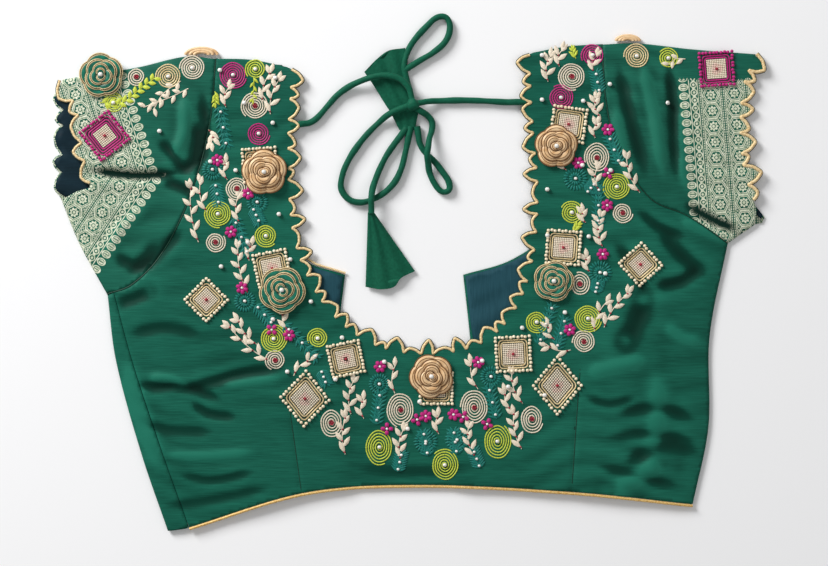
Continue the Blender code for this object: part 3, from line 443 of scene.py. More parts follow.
# %% [markdown]
# ## The camera
# It looks straight down. It is made before the cords, because cords may not spread far past it.

# %% Camera
VIEW_CENTRE = (4.2, -0.8)
VIEW_WIDTH = 687.0
VIEW_HEIGHT_ABOVE = 1620.0
eye = bpy.data.cameras.new("camera")
eye.sensor_width = 36
eye.lens = eye.sensor_width * VIEW_HEIGHT_ABOVE / VIEW_WIDTH
camera = bpy.data.objects.new("camera", eye)
camera.location = (VIEW_CENTRE[0] * MM, VIEW_CENTRE[1] * MM, VIEW_HEIGHT_ABOVE * MM)
bpy.context.scene.collection.objects.link(camera)
bpy.context.scene.camera = camera
print("lens", round(eye.lens, 1), "mm")

# %% [markdown]
# ## Materials as expressions
# A small class wraps a socket, so that shader maths reads as ordinary sums. A Look is one
# material: its node method takes a type, settings, and the values or links of the sockets.

# %% Shader helpers
class Value:
    """A number that varies over a surface."""

    def __init__(self, look, socket):
        self.look, self.socket = look, socket

    def made(self, operation, *others, first=None):
        values = [self if first is None else first, *others]
        node = self.look.node("ShaderNodeMath", {"operation": operation})
        for slot, value in zip(node.inputs, values):
            self.look.put(slot, value)
        return Value(self.look, node.outputs[0])

    def __add__(self, other):
        return self.made("ADD", other)

    def __sub__(self, other):
        return self.made("SUBTRACT", other)

    def __rsub__(self, other):
        return self.made("SUBTRACT", self, first=other)

    def __mul__(self, other):
        return self.made("MULTIPLY", other)

    def __truediv__(self, other):
        return self.made("DIVIDE", other)

    __radd__ = __add__
    __rmul__ = __mul__

    def below(self, limit):
        return self.made("LESS_THAN", limit)

    def apply(self, operation, *others):
        return self.made(operation, *others)


class Look:
    """A material and its nodes."""

    def __init__(self, name, roughness, metallic=0.0, sheen=0.0, shine=0.5):
        self.material = bpy.data.materials.new(name)
        self.material.use_nodes = True
        self.tree = self.material.node_tree
        self.shader = self.tree.nodes["Principled BSDF"]
        self.shader.inputs["Roughness"].default_value = roughness
        self.shader.inputs["Metallic"].default_value = metallic
        self.shader.inputs["Sheen Weight"].default_value = sheen
        self.shader.inputs["Specular IOR Level"].default_value = shine
        self.shader.inputs["Sheen Roughness"].default_value = 0.4

    def node(self, kind, settings=None, **inputs):
        made = self.tree.nodes.new(kind)
        for key, value in (settings or {}).items():
            setattr(made, key, value)
        for key, value in inputs.items():
            self.put(made.inputs[key.replace("_", " ")], value)
        return made

    def put(self, slot, value):
        if isinstance(value, Value):
            self.tree.links.new(value.socket, slot)
        elif isinstance(value, bpy.types.NodeSocket):
            self.tree.links.new(value, slot)
        else:
            slot.default_value = value

    def place(self, stretch=(1, 1, 1), source="Object"):
        """Coordinates on the piece, stretched along each axis."""
        at = self.node("ShaderNodeTexCoord").outputs[source]
        mapped = self.node("ShaderNodeMapping", None, Vector=at)
        mapped.inputs["Scale"].default_value = stretch
        return mapped.outputs[0]

    def noise(self, scale, detail=2.0, stretch=(1, 1, 1)):
        made = self.node("ShaderNodeTexNoise", None, Vector=self.place(stretch), Scale=scale,
                         Detail=detail)
        return Value(self, made.outputs["Fac"])

    def fold(self):
        """How far a crease lifts the cloth here, in millimetres; below zero in a trough."""
        # the silks take their painted shade in troughs and painted highlight on crests from this
        # relief
        made = self.node("ShaderNodeAttribute", {"attribute_name": "fold"})
        return Value(self, made.outputs["Fac"])

    def mix(self, amount, one, two):
        """One colour where amount is 0, the other where it is 1."""
        made = self.node("ShaderNodeMix", {"data_type": "RGBA"})
        self.put(made.inputs["Factor"], amount)
        self.put(made.inputs[6], one)
        self.put(made.inputs[7], two)
        return made.outputs[2]

    def finish(self, colour, bump=None, distance=0.0003, strength=0.5, roughness=None):
        self.put(self.shader.inputs["Base Color"], colour)
        if roughness is not None:
            self.put(self.shader.inputs["Roughness"], roughness)
        if bump is not None:
            made = self.node("ShaderNodeBump", None, Height=bump, Distance=distance,
                             Strength=strength)
            self.put(self.shader.inputs["Normal"], made.outputs[0])
        return self.material


def colour(red, green, blue):
    """A screen colour of 0 to 255 as the linear numbers a shader takes."""
    linear = [c / 255 / 12.92 if c < 11 else ((c / 255 + 0.055) / 1.055) ** 2.4
              for c in (red, green, blue)]
    return (*linear, 1.0)

# %% [markdown]
# ## Silk
# Hand-woven silk has a soft sheen and slubs: thicker threads that show as fine streaks along
# the weave. Two stretched noises make the threads, a broad one lets the colour drift. The light
# and shade of the creases are painted too: paler on their crests, darker in their troughs.

# %% Silk, lining and cord cloth
FOLD_SHADE = (0.0, 0.018, 0.011, 1.0)        # painted shade: the colour that cloth in the depth of a fold is darkened towards
WEAVE = (60, 1100, 60)                       # slubs are long one way and fine the other


def dyed_with_painted_highlight(look, slub, deep, light):
    """Paler on thick threads, with a drift over the cloth, and a painted highlight on crease
    crests.
    """
    drift = look.noise(9.0, 2.0)
    return look.mix((slub * 0.55 + drift * 0.45 - 0.22) * 1.7 + look.fold() * 0.62, deep, light)


def shaded(look, tone):
    """Painted shade: darker in the troughs of creases."""
    return look.mix(look.fold() * -0.36, tone, FOLD_SHADE)


def silk(name, deep, light, roughness=0.58, sheen=0.04, streak=WEAVE):
    look = Look(name, roughness, sheen=sheen, shine=0.1)
    slub = look.noise(1.0, 3.0, streak)
    weft = look.noise(1.0, 1.0, (2200, 2200, 2200))
    rough = (slub - 0.5) * 0.16 + roughness
    # painted highlight on the crests of creases, then painted shade in their troughs
    tone = shaded(look, dyed_with_painted_highlight(look, slub, deep, light))
    return look.finish(tone, slub * 0.6 + weft * 0.4, 0.00035, 0.35, rough)


green_silk = silk("green silk", colour(5, 67, 53), colour(29, 110, 90))
teal_lining = silk("teal lining", colour(20, 58, 68), colour(44, 86, 98), 0.6, 0.05, (1100, 60, 60))
dark_lining = silk("dark lining", colour(8, 26, 36), colour(22, 48, 58), 0.6, 0.05)
cord_silk = silk("cord cloth", colour(6, 66, 47), colour(24, 104, 78), 0.6, 0.05, (500, 500, 500))

# %% [markdown]
# ## Threads, beads and piping
# Embroidery thread is matt and fibrous, beads are smooth. Each is one colour with a fine
# mottle at the scale of its strands.

# %% Threads and beads
def thread(name, dark, light, roughness=0.6, grain=1500.0, metallic=0.0, sheen=0.1):
    look = Look(name, roughness, metallic, sheen, 0.3)
    strand = look.noise(grain, 2.0)
    amount = (strand - 0.32) * 2.6
    return look.finish(look.mix(amount, dark, light), strand, 0.0002, 0.5)


THREADS = {
    "cream": thread("cream thread", colour(205, 186, 158), colour(250, 240, 222)),
    "blush": thread("blush seed bead", colour(214, 176, 158), colour(246, 222, 208)),
    "lime": thread("lime thread", colour(158, 172, 34), colour(222, 234, 92)),
    "magenta": thread("magenta thread", colour(150, 18, 92), colour(214, 44, 142)),
    "teal": thread("teal thread", colour(0, 84, 76), colour(20, 134, 120)),
    "seam": thread("seam", colour(0, 40, 28), colour(6, 66, 47), 0.6, 900.0, 0.0, 0.0),
    "gold": thread("gold cord", colour(196, 166, 112), colour(248, 230, 186), 0.5, 1100.0, 0.1),
    "brown": thread("brown cord", colour(48, 36, 22), colour(96, 74, 44), 0.7),
    "bead": thread("cream bead", colour(226, 206, 170), colour(252, 240, 214),
                   0.3, 300.0, 0.0, 0.0),
    "pearl": thread("white pearl", colour(226, 222, 214), colour(255, 253, 248),
                    0.22, 300.0, 0.0, 0.0),
    "red": thread("red bead", colour(120, 22, 38), colour(178, 46, 66), 0.35, 600.0, 0.0, 0.0),
    "piping": thread("cream and gold piping", colour(206, 170, 112), colour(250, 228, 182),
                     0.5, 900.0, 0.1),
    # painted shade: a dark cord at the open edge of the piping and in the gaps between cords
    "rim": thread("dark rim", colour(16, 40, 32), colour(34, 62, 50), 0.6),
    "hem": thread("gold hem piping", colour(196, 150, 78), colour(240, 206, 136),
                  0.42, 900.0, 0.15),
    "satin": thread("peach satin", colour(206, 162, 112), colour(240, 208, 164),
                    0.38, 200.0, 0.0, 0.4),
    "green_satin": thread("green satin", colour(4, 74, 58), colour(24, 122, 98),
                          0.35, 200.0, 0.0, 0.4),
    "outline": thread("brown outline", colour(84, 52, 26), colour(128, 88, 50), 0.6),
}

# %% [markdown]
# ## Making meshes
# Every piece is arrays of corners and faces. Small parts of one colour are gathered and joined
# as one mesh, each copied from a template by whole-array sums.

# %% Mesh helpers
def add_piece(name, corners, faces, look, sharp=50):
    """An object from corners in millimetres; it rides on the blouse."""
    mesh = bpy.data.meshes.new(name)
    mesh.from_pydata((np.asarray(corners, float) * MM).tolist(), [], np.asarray(faces).tolist())
    mesh.shade_smooth()
    mesh.set_sharp_from_angle(angle=math.radians(sharp))
    mesh.materials.append(look)
    made = bpy.data.objects.new(name, mesh)
    bpy.context.scene.collection.objects.link(made)
    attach(made, "root")
    return made


def stand_for(made, slot, *nodes):
    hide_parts(*nodes)


def ring_faces(rings, sides):
    """Triangles between closed rings, with a fan of triangles over each end ring."""
    r, k = np.meshgrid(np.arange(rings - 1), np.arange(sides), indexing="ij")
    a, b = r * sides + k, r * sides + (k + 1) % sides
    c, d = b + sides, a + sides
    walls = np.stack([a, b, c, a, c, d], axis=-1).reshape(-1, 3)
    fan = np.arange(1, sides - 1)
    foot = np.column_stack([fan * 0, fan + 1, fan])
    top = np.column_stack([fan * 0, fan, fan + 1]) + (rings - 1) * sides
    return np.vstack([walls, foot, top])


def tube(path, radius, sides=6, flat=1.0):
    """A tube round a path: each ring is a circle across it, flat times as tall."""
    path = np.asarray(path, float)
    along = np.gradient(path, axis=0)
    along /= np.linalg.norm(along, axis=1)[:, None]
    side = np.cross(along, (0, 0, 1))
    side /= np.linalg.norm(side, axis=1)[:, None]
    up = np.cross(side, along)
    turn = np.arange(sides) * 2 * math.pi / sides
    radius = np.broadcast_to(radius, len(path))[:, None, None]
    cos, sin = np.cos(turn)[None, :, None], np.sin(turn)[None, :, None]
    corners = path[:, None] + (cos * side[:, None] - sin * up[:, None] * flat) * radius
    return corners.reshape(-1, 3), ring_faces(len(path), sides)[:, ::-1]


def lathe_template(share, sides):
    """Rings of a unit solid turned round the X axis: (place along, radius) at each ring."""
    turn = np.arange(sides) * 2 * math.pi / sides
    rings = np.array([[(x, r * math.cos(t), r * math.sin(t)) for t in turn] for x, r in share])
    return rings.reshape(-1, 3), ring_faces(len(share), sides)


BEAD = lathe_template([(-0.92, 0.38), (-0.5, 0.87), (0.5, 0.87), (0.92, 0.38)], 7)
LEAF = lathe_template([(0.0, 0.06), (0.22, 0.72), (0.5, 1.0), (0.78, 0.62), (1.0, 0.04)], 6)


def copies(template, x, y, height, turn, length, width, thick):
    """A template stretched, turned and set down once for each place."""
    corners, faces = template
    x, y, height, turn, length, width, thick = np.broadcast_arrays(
        *(np.atleast_1d(np.asarray(v, float)) for v in (x, y, height, turn, length, width, thick)))
    px = corners[:, 0] * length[:, None]
    py = corners[:, 1] * width[:, None] / 2
    cos, sin = np.cos(turn)[:, None], np.sin(turn)[:, None]
    placed = np.stack([x[:, None] + px * cos - py * sin, y[:, None] + px * sin + py * cos,
                       height[:, None] + corners[:, 2] * thick[:, None] / 2], axis=-1)
    offsets = np.arange(len(x))[:, None, None] * len(corners)
    return placed.reshape(-1, 3), (faces[None] + offsets).reshape(-1, 3)


def joined(parts):
    """One mesh of many."""
    corners, faces, total = [], [], 0
    for part_corners, part_faces in parts:
        corners.append(part_corners)
        faces.append(part_faces + total)
        total += len(part_corners)
    return np.vstack(corners), np.vstack(faces)

# %% [markdown]
# ## The dori
# The blouse ties with a cord sewn from its own silk. It is limp, so it lies on the table and
# rises only over the knot and over itself. Each run is a tube on a smooth route, a little
# narrower in places, as a hand-sewn tube of cloth is.

# %% Cords
CORD_LOOK_RADIUS = 2.65
# What holds the far end, and how far the two ends are tucked past the solid cord's: under the
# piping, the knot or a tassel.
CORD_HOLDS = {
    "dori_left": ("knot", 10, 3), "dori_right": ("knot", 8, 5), "dori_loop_top": ("knot", 3, 7),
    "dori_loop_lower": ("knot", 4, 8), "dori_tail": ("object", 8, 5),
    "dori_loop_right": ("knot", 5, 8),
}


def tucked(route, first, last):
    """The route with each end carried straight on by its tuck."""
    route = np.array(route, float)
    ends = []
    for end, before, tuck in ((route[0], route[1], first), (route[-1], route[-2], last)):
        way = end - before
        way[2] = 0
        ends.append(end + way / np.linalg.norm(way) * tuck)
    return np.vstack([ends[0], route, ends[1]])


def dori(name, route):
    far_end, *tucks = CORD_HOLDS[name]
    path = curve(tucked(route, *tucks), 1.6)
    path[:, 2] = np.maximum(path[:, 2] - 0.3, CORD_LOOK_RADIUS + 0.05)
    gone = gone_along(path)
    radius = CORD_LOOK_RADIUS * (0.97 + 0.05 * np.sin(gone / 7.3) + 0.03 * np.sin(gone / 2.9))
    corners, faces = tube(path, radius, 14, 0.94)
    made = add_piece(f"{name}_cloth", corners, faces, cord_silk)
    stand_for(made, "dori_cloth", name)
    print(name, "is", round(gone[-1]), "mm long")
    return gone[-1]


dori_length = sum(dori(name, route) for name, route in CORD_ROUTES.items())
print("all of the cord that shows:", round(dori_length), "mm")

# %% [markdown]
# ## Knot and tassels
# The knot is a bound lump with turns of cord round it. Each tassel is a cone of the same silk,
# pressed flat: rings of cloth along lines across it, with folds that run to the mouth.

# %% Knot and tassels
# Each tassel is a pressed cone: lines across it from its throat to its mouth, and the lowest and
# highest its cloth comes there. The last line is the mouth. The lower one is a straight cone, so
# its lines in between are worked out from their share of the way.
LOWER_THROAT = ((-34, 58), (-29, 58))
LOWER_MOUTH = ((-36, -4), (-24, -6), (-12, -4), (-7, 3), (5, 9))


def between_lines(first, last, share, points=4):
    """The line that lies a share of the way from one line to another."""
    ends = []
    for line in (first, last):
        line = np.array(line, float)
        ends.append(at_lengths(line, np.linspace(0, gone_along(line)[-1], points)))
    return (1 - share) * ends[0] + share * ends[1]


#                     lowest  highest  points of the line
TASSELS = {
    "tassel_lower": ((5.0, 9.0, LOWER_THROAT),
                     (0.6, 6.5, between_lines(LOWER_THROAT, LOWER_MOUTH, 0.28)),
                     (0.6, 5.0, between_lines(LOWER_THROAT, LOWER_MOUTH, 0.62)),
                     (0.6, 4.4, LOWER_MOUTH)),
    "tassel_upper": ((0.8, 3.6, ((-8, 126), (5, 126))),
                     (0.6, 4.2, ((-15, 140), (8, 141))),
                     (0.6, 4.4, ((-22, 151), (-4, 156))),
                     (0.6, 4.8, ((-30, 164), (-9, 173))),
                     (0.6, 4.8, ((-37, 174), (-27, 184), (-18, 191), (-9, 194)))),
}


def knot_surface():
    """An egg whose surface bulges in three slanting bands, the turns of the tie."""
    rings, sides = 22, 32
    tilt = np.linspace(-1.45, 1.45, rings)[:, None]
    turn = (np.arange(sides) * 2 * math.pi / sides)[None]
    swell = 1 + 0.10 * np.cos(3 * turn + 2.2 * tilt)
    unit = np.stack([np.cos(tilt) * np.cos(turn) * swell, np.cos(tilt) * np.sin(turn) * swell,
                     np.sin(tilt) + 0 * turn], axis=-1)
    return (unit * KNOT_RADII + KNOT_CENTRE).reshape(-1, 3), ring_faces(rings, sides)


LAP, LAP_FROM = 6.0, 150.0        # the upper tassel laps under the strand beside it


def tassel_surface(sections, folds):
    """Rounded rings between the given lines, with so many folds down the upper side."""
    steps, fine = 26, 16
    turn = np.arange(2 * steps) / (2 * steps) * 2 * math.pi
    share, arch = (1 - np.cos(turn)) / 2, np.sin(turn)
    rows = []
    for lowest, highest, line in sections:
        line = np.array(line, float)
        if line[-1, 1] > LAP_FROM:
            line[-1, 0] += LAP
        smooth = curve(line, 2.0) if len(line) > 2 else line
        across = at_lengths(smooth, share * gone_along(smooth)[-1])
        half = (highest - lowest) / 2
        rows.append(np.column_stack([across, (highest + lowest) / 2 + half * arch]))
    rows = np.array(rows)
    at = np.linspace(0, len(rows) - 1, fine * (len(rows) - 1) + 1)
    low = np.minimum(at.astype(int), len(rows) - 2)
    blend = (at - low)[:, None, None]
    shape = rows[low] * (1 - blend) + rows[low + 1] * blend
    down = np.linspace(0, 1, len(at))[:, None]
    ripple = np.sin(folds * math.pi * share[None] + 3.0 * down) * (0.3 + 0.7 * down) * 1.1
    shape[..., 2] += ripple * np.maximum(arch, 0)[None]
    shape[..., 2] = np.maximum(shape[..., 2], 0.3)
    return shape.reshape(-1, 3), ring_faces(len(at), 2 * steps)[:, ::-1]


knot_piece = add_piece("knot_cloth", *knot_surface(), cord_silk)
stand_for(knot_piece, "dori_cloth", "dori_knot")
for name, sections in TASSELS.items():
    made = add_piece(f"{name}_cloth", *tassel_surface(sections, 5), cord_silk)
    stand_for(made, "dori_cloth", name)
print("knot and", len(TASSELS), "tassels")

# %% [markdown]
# ## The fall of the cloth
# The upper layer's height over the table is one function of the place, so neighbouring pieces
# meet at their seams. To the largest folds it adds creases: each is a line with a width and a
# height, ridge or trough, that dies away at its ends. A slow ripple keeps the rest from being flat.

# %% Creases
#   line of the crease, half width, height
CREASES = (
    (((-230, -82), (-212, -87), (-188, -86), (-150, -100)), 4.0, -0.9),
    (((-218, -78), (-196, -81), (-176, -90)), 3.5, 0.7),
    (((-182, -98), (-166, -109), (-140, -112)), 3.5, -0.8),
    (((-196, -92), (-160, -82), (-130, -74), (-96, -72)), 4.5, -0.9),
    (((-160, -85), (-128, -82), (-100, -79)), 4.0, 0.6),
    (((-194, -158), (-164, -164), (-124, -156)), 3.5, -0.6),
    (((-242, -18), (-228, -14), (-214, -8)), 5.0, -0.8),
    (((194, -15), (190, -30), (180, -49)), 9.0, -1.0),
    (((144, -76), (172, -70), (200, -64)), 6.0, 0.8),
    (((144, -94), (166, -101), (190, -94)), 3.5, -0.6),
    (((168, -112), (205, -104), (240, -116)), 5.0, -0.7),
    (((176, -152), (212, -136), (244, -142)), 6.0, -0.8),
    (((168, -174), (190, -162), (212, -151)), 7.0, 0.8),
    (((202, -4), (224, 0), (242, 12)), 5.0, -1.0),
    (((206, 44), (226, 22), (248, 2)), 6.0, -0.9),
    (((172, 184), (182, 140), (198, 84)), 5.0, -0.9),
    (((192, 188), (202, 142), (212, 80)), 5.0, 0.9),
    (((214, 186), (219, 140), (222, 82)), 4.5, -1.1),
    (((226, 66), (252, 52), (276, 42)), 4.5, -1.4),
    (((222, 54), (246, 42), (270, 34)), 4.0, 0.8),
    (((-268, 93), (-226, 88), (-186, 91)), 4.0, -1.6),
    (((-192, 90), (-178, 100), (-174, 134)), 5.0, -1.4),
    (((-186, 158), (-186, 124), (-196, 100)), 5.0, 1.0),
    (((-172, 160), (-168, 122), (-176, 84)), 4.5, -1.1),
    (((-208, 118), (-196, 106), (-184, 88)), 4.0, -1.0),
    (((-204, 84), (-186, 78), (-176, 72)), 4.5, -1.2),
    (((-244, 26), (-228, 14), (-206, 34)), 5.0, -0.9),
    (((-236, -60), (-222, -112), (-204, -160)), 8.0, 0.7),
    (((-234, -44), (-204, -38), (-168, -44)), 5.0, -0.6),
    (((-228, -112), (-200, -122), (-158, -124)), 4.5, -0.6),
    (((-212, -142), (-176, -144), (-120, -140)), 4.0, 0.5),
    (((-206, -186), (-160, -180), (-110, -168)), 4.5, -0.5),
    (((-236, 6), (-212, 18), (-186, 46)), 5.0, -0.8),
    (((-252, 20), (-238, 44), (-214, 66)), 5.0, 0.7),
    (((-60, -150), (0, -156), (70, -152)), 5.0, -0.35),
    (((188, 60), (206, 46), (232, 36)), 4.0, -0.8),
    (((168, 34), (186, 14), (196, -12)), 5.0, -0.7),
    (((210, -34), (226, -46), (246, -50)), 5.0, 0.6),
    (((160, -130), (196, -126), (240, -132)), 4.5, -0.6),
    (((152, -150), (184, -160), (226, -170)), 4.5, -0.6),
    (((204, -70), (206, -110), (198, -160)), 8.0, 0.6),
    (((170, 150), (176, 110), (190, 74)), 5.0, 0.8),
    (((232, 70), (224, 110), (226, 150)), 4.0, 0.6),
)
# A dart stands on the hem at a length along it from the right side seam, and leans to the left
# of upright. It is narrow, so the mesh has corners along it.
#             along  length  lean in degrees
DART_PLAN = ((101, 102, -4), (325, 72, 8))


def dart_line(along, length, lean):
    (foot,) = at_lengths(curve(HEM, 3.0), [along])
    top = foot + length * np.array([-math.sin(math.radians(lean)), math.cos(math.radians(lean))])
    return (top, (foot + top) / 2, foot)


DARTS = [dart_line(*row) for row in DART_PLAN]
DART_DEPTH = 0.75
DART_REACH = 1.3
RIPPLE = 0.42            # height of the slow ripple
CRINKLE = 0.26           # and of the fine waves
CREASE_STRENGTH = 2.4


def crinkle(x, y):
    """Fine waves that run across the garment, in patches that come and go."""
    patch = smoothstep(0.55 + 0.75 * np.sin(x / 43 + 1.1) * np.sin(y / 27 + 2.2 + x / 90))
    waves = np.sin((y + 7 * np.sin(x / 33)) / 3.1 + 2.2 * np.sin(x / 21 + y / 60))
    return CRINKLE * patch * waves


def crease_relief(x, y):
    """Sum over the creases of height times a wave across and a smooth fade along the line.

    The wave is a bell less a share of the distance squared, so a ridge rises beside a trough."""
    relief = crinkle(x, y)
    for line, width, height in CREASES:
        path = curve(line, 8.0)
        near = distance_to(path, x, y)
        ends = np.minimum(*(np.hypot(x - end[0], y - end[1]) for end in (path[0], path[-1])))
        fade = smoothstep(ends / (gone_along(path)[-1] * 0.26))
        across = (near / (width * (0.45 + 0.55 * fade))) ** 2
        relief += CREASE_STRENGTH * height * fade * (1 - 0.55 * across) * np.exp(-0.62 * across)
    return relief


def cloth_height(x, y, seams=()):
    x, y = np.asarray(x, float), np.asarray(y, float)
    ripple = RIPPLE * (np.sin(x / 23 + 1.3 * np.sin(y / 31)) + np.sin(y / 17 + x / 41 + 2))
    away = np.min([distance_to(edge, x, y) for edge in CLOSED_EDGES], axis=0)
    inward = smoothstep(away / 14)
    height = upper_height(x, y, seams) + (crease_relief(x, y) + ripple) * inward
    for dart in DARTS:
        near = distance_to(curve(dart, 6), x, y) / DART_REACH
        height = height - DART_DEPTH * np.exp(-near**2)
    return np.maximum(height, CLOTH + 0.9)

# %% [markdown]
# ## Cutting the cloth
# An outline is filled with a fine triangle mesh that keeps its edge exactly. A folded piece is
# laid out flat across its fold, filled, and folded again, so the weave runs on round the fold.
# Each piece gets its thickness from a Solidify modifier, and the size of its cut is printed.

# %% Panels
FINE_GRID = 3.0
EDGE_STEP = 3.5
WALL = 0.9


def cut_size(flat, faces):
    """Width and length of the rectangle along the cut's own long axis, and its area, in metres."""
    a, b, c = (flat[faces[:, k]] for k in range(3))
    first, second = b - a, c - a
    area = np.abs(first[:, 0] * second[:, 1] - first[:, 1] * second[:, 0]).sum() / 2 * MM * MM
    _, _, axes = np.linalg.svd(flat - flat.mean(axis=0), full_matrices=False)
    length, width = np.ptp(flat @ axes.T, axis=0) * MM
    return float(width), float(length), float(area)


def cloth_piece(name, node, slot, corners, faces, flat, look, wall=WALL):
    """A sheet of cloth: its middle surface, thickened, with the size of its cut."""
    faces = np.array(faces)
    made = add_piece(name, corners, faces, look, 80)
    # crease relief kept on the cloth; its shader paints shade in troughs and highlight on crests
    # from it
    relief = made.data.attributes.new("fold", "FLOAT", "POINT")
    relief.data.foreach_set("value", crease_relief(corners[:, 0], corners[:, 1]))
    thick = made.modifiers.new("cloth", "SOLIDIFY")
    thick.thickness = wall * MM
    thick.offset = 0
    stand_for(made, slot, node)
    width, length, area = cut_size(flat, faces)
    print(f"{name}: cut {width * 1000:.0f} x {length * 1000:.0f} mm, {area * 1e4:.0f} cm2")
    return made


def lay_flat(name, node, slot, outline, middle, look, relief=0.0, wall=WALL):
    outline = np.asarray(outline, float)
    flat, faces = fill(outline, grid_inside(outline, FINE_GRID * 1.6))
    edge = distance_to(np.vstack([outline, outline[:1]]), flat[:, 0], flat[:, 1])
    wave = relief * smoothstep(edge / 6) * np.sin(flat[:, 0] / 6 + np.sin(flat[:, 1] / 13) * 2)
    corners = np.column_stack([flat, middle + wave])
    return cloth_piece(name, node, slot, corners, faces, flat, look, wall)


def fold_cloth(name, node, slot, over, under, fold, height, turned, look):
    """A cut of cloth folded along one side of the garment.

    over runs round the upper sheet from the fold's last point to its first, under round the
    lower sheet from the first to the last, and the cut is laid out flat across the fold, filled
    with triangles and folded again. turned is True where the fold runs along Y, not X."""
    sides = [np.asarray(points, float) for points in (fold, over, under)]
    if turned:
        sides = [np.column_stack([points[:, 1], -points[:, 0]]) for points in sides]
    fold, over, under = sides
    order = np.argsort(fold[:, 0])
    wrap = math.pi * FOLD_RADIUS

    def fold_at(p):
        return np.interp(p, fold[order, 0], fold[order, 1])

    laid_under = np.column_stack([under[:, 0], 2 * fold_at(under[:, 0]) - under[:, 1] + wrap])
    steps = np.arange(1, FOLD_STEPS) / FOLD_STEPS * wrap
    first, last = ([(end[0], end[1] + step) for step in steps] for end in (fold[0], fold[-1]))
    outline = np.vstack([over, first, laid_under, last[::-1]])
    lines = [fold + (0, step) for step in (0, *steps, wrap)]
    over_outline = np.vstack([over, fold[1:-1]])
    flat, faces = fill(outline, grid_inside(over_outline, FINE_GRID), lines)

    p, across = flat[:, 0], flat[:, 1] - fold_at(flat[:, 0])
    angle = np.clip(across / FOLD_RADIUS, 0, math.pi)
    round_it = np.where(across < 0, across, np.sin(angle) * FOLD_RADIUS)
    q = fold_at(p) + round_it - np.maximum(across - wrap, 0)
    x, y = (-q, p) if turned else (p, q)
    round_the_fold = CLOTH / 2 + FOLD_RADIUS * (1 + np.cos(angle))
    z = np.where(across < -1e-3, height(x, y), round_the_fold)
    return cloth_piece(name, node, slot, np.column_stack([x, y, z]), faces, flat, look)

# %% [markdown]
# ## The back
# The largest piece: its neck edge follows the scallops, its other edges the seams.

# %% Back
neck = scalloped(NECK, NECK_PITCH, NECK_REACH)
side_seam, side_right = curve(SIDE_SEAM_LEFT, EDGE_STEP), curve(SIDE_RIGHT, EDGE_STEP)
hem = curve(HEM, EDGE_STEP)
shoulder_left, shoulder_right = curve(SHOULDER_LEFT, EDGE_STEP), curve(SHOULDER_RIGHT, EDGE_STEP)
armhole_left, armhole_right = curve(ARMHOLE_LEFT, EDGE_STEP), curve(ARMHOLE_RIGHT, EDGE_STEP)
back_seams = [shoulder_left, shoulder_right, side_right]


def back_height(x, y):
    return cloth_height(x, y, back_seams)


back_outline = np.vstack([neck[:-1], shoulder_right, armhole_right[1:], side_right[1:], hem[1:],
                          side_seam[-2::-1], armhole_left[-2::-1], shoulder_left[1:]])[::-1]
dart_lines = [offset(curve(dart, 4), side)[1:-1] for dart in DARTS for side in (-1.6, 0, 1.6)]
keep_off = np.vstack(dart_lines)
grid = grid_inside(back_outline, FINE_GRID)
grid = grid[np.hypot(*(grid[:, None] - keep_off[None]).transpose(2, 0, 1)).min(axis=1) > 1.5]
inside_lines = [line[inside(back_outline, line[:, 0], line[:, 1])] for line in dart_lines]
flat, faces = fill(back_outline, grid, [line[:-1] for line in inside_lines])
cloth_piece("back_cloth", "back", "silk",
            np.column_stack([flat, back_height(flat[:, 0], flat[:, 1])]), faces, flat,
            green_silk)

# %% [markdown]
# ## The fronts
# They lie under the back and show only at the neck and along the left side, where the left one
# is folded up over the edge to the side seam.

# %% Fronts
centre = CLOTH / 2
front_right = np.vstack([curve(NECKLINE_RIGHT, 5), curve(CENTRE_EDGE_RIGHT, 5)[1:],
                         curve(FRONT_HEM_RIGHT, 5)[1:-1], side_right[::-1], armhole_right[-2::-1],
                         shoulder_right[-2:2:-1]])
lay_flat("front_right_cloth", "front_right", "silk", front_right, centre, green_silk)
side_fold = curve(SIDE_LEFT, EDGE_STEP) + (FOLD_OUT, 0)
strip_edge = offset(side_seam, -SEAM)
over = np.vstack([side_fold[-1:], STRIP_FOOT[::-1], strip_edge[::-1], side_fold[:1]])
under = np.vstack([side_fold[:1], armhole_left[-2::-1], shoulder_left[1:-3],
                   curve(NECKLINE_LEFT, 5), curve(CENTRE_EDGE_LEFT, 5)[1:],
                   curve(FRONT_HEM_LEFT, 5)[1:-1], side_fold[-1:]])
fold_cloth("front_left_cloth", "front_left", "silk", over, under, side_fold, cloth_height,
           True, green_silk)

# %% [markdown]
# ## The woven border of the sleeves
# Silver thread is woven into the green in bands along the cuff: a comb of tulips on the inner
# edge, then a column of circles, dotted lines, and columns of flowers in hexagons. It is a
# pattern of two lengths, the distance in from the comb and the distance along it, which the
# sleeve's own UV map holds in millimetres.

# %% Brocade
COMB, CIRCLES, COLUMN, REPEAT = 9.0, 8.0, 19.5, 13.0
BORDER_START = COMB + CIRCLES
TULIP = 7.4


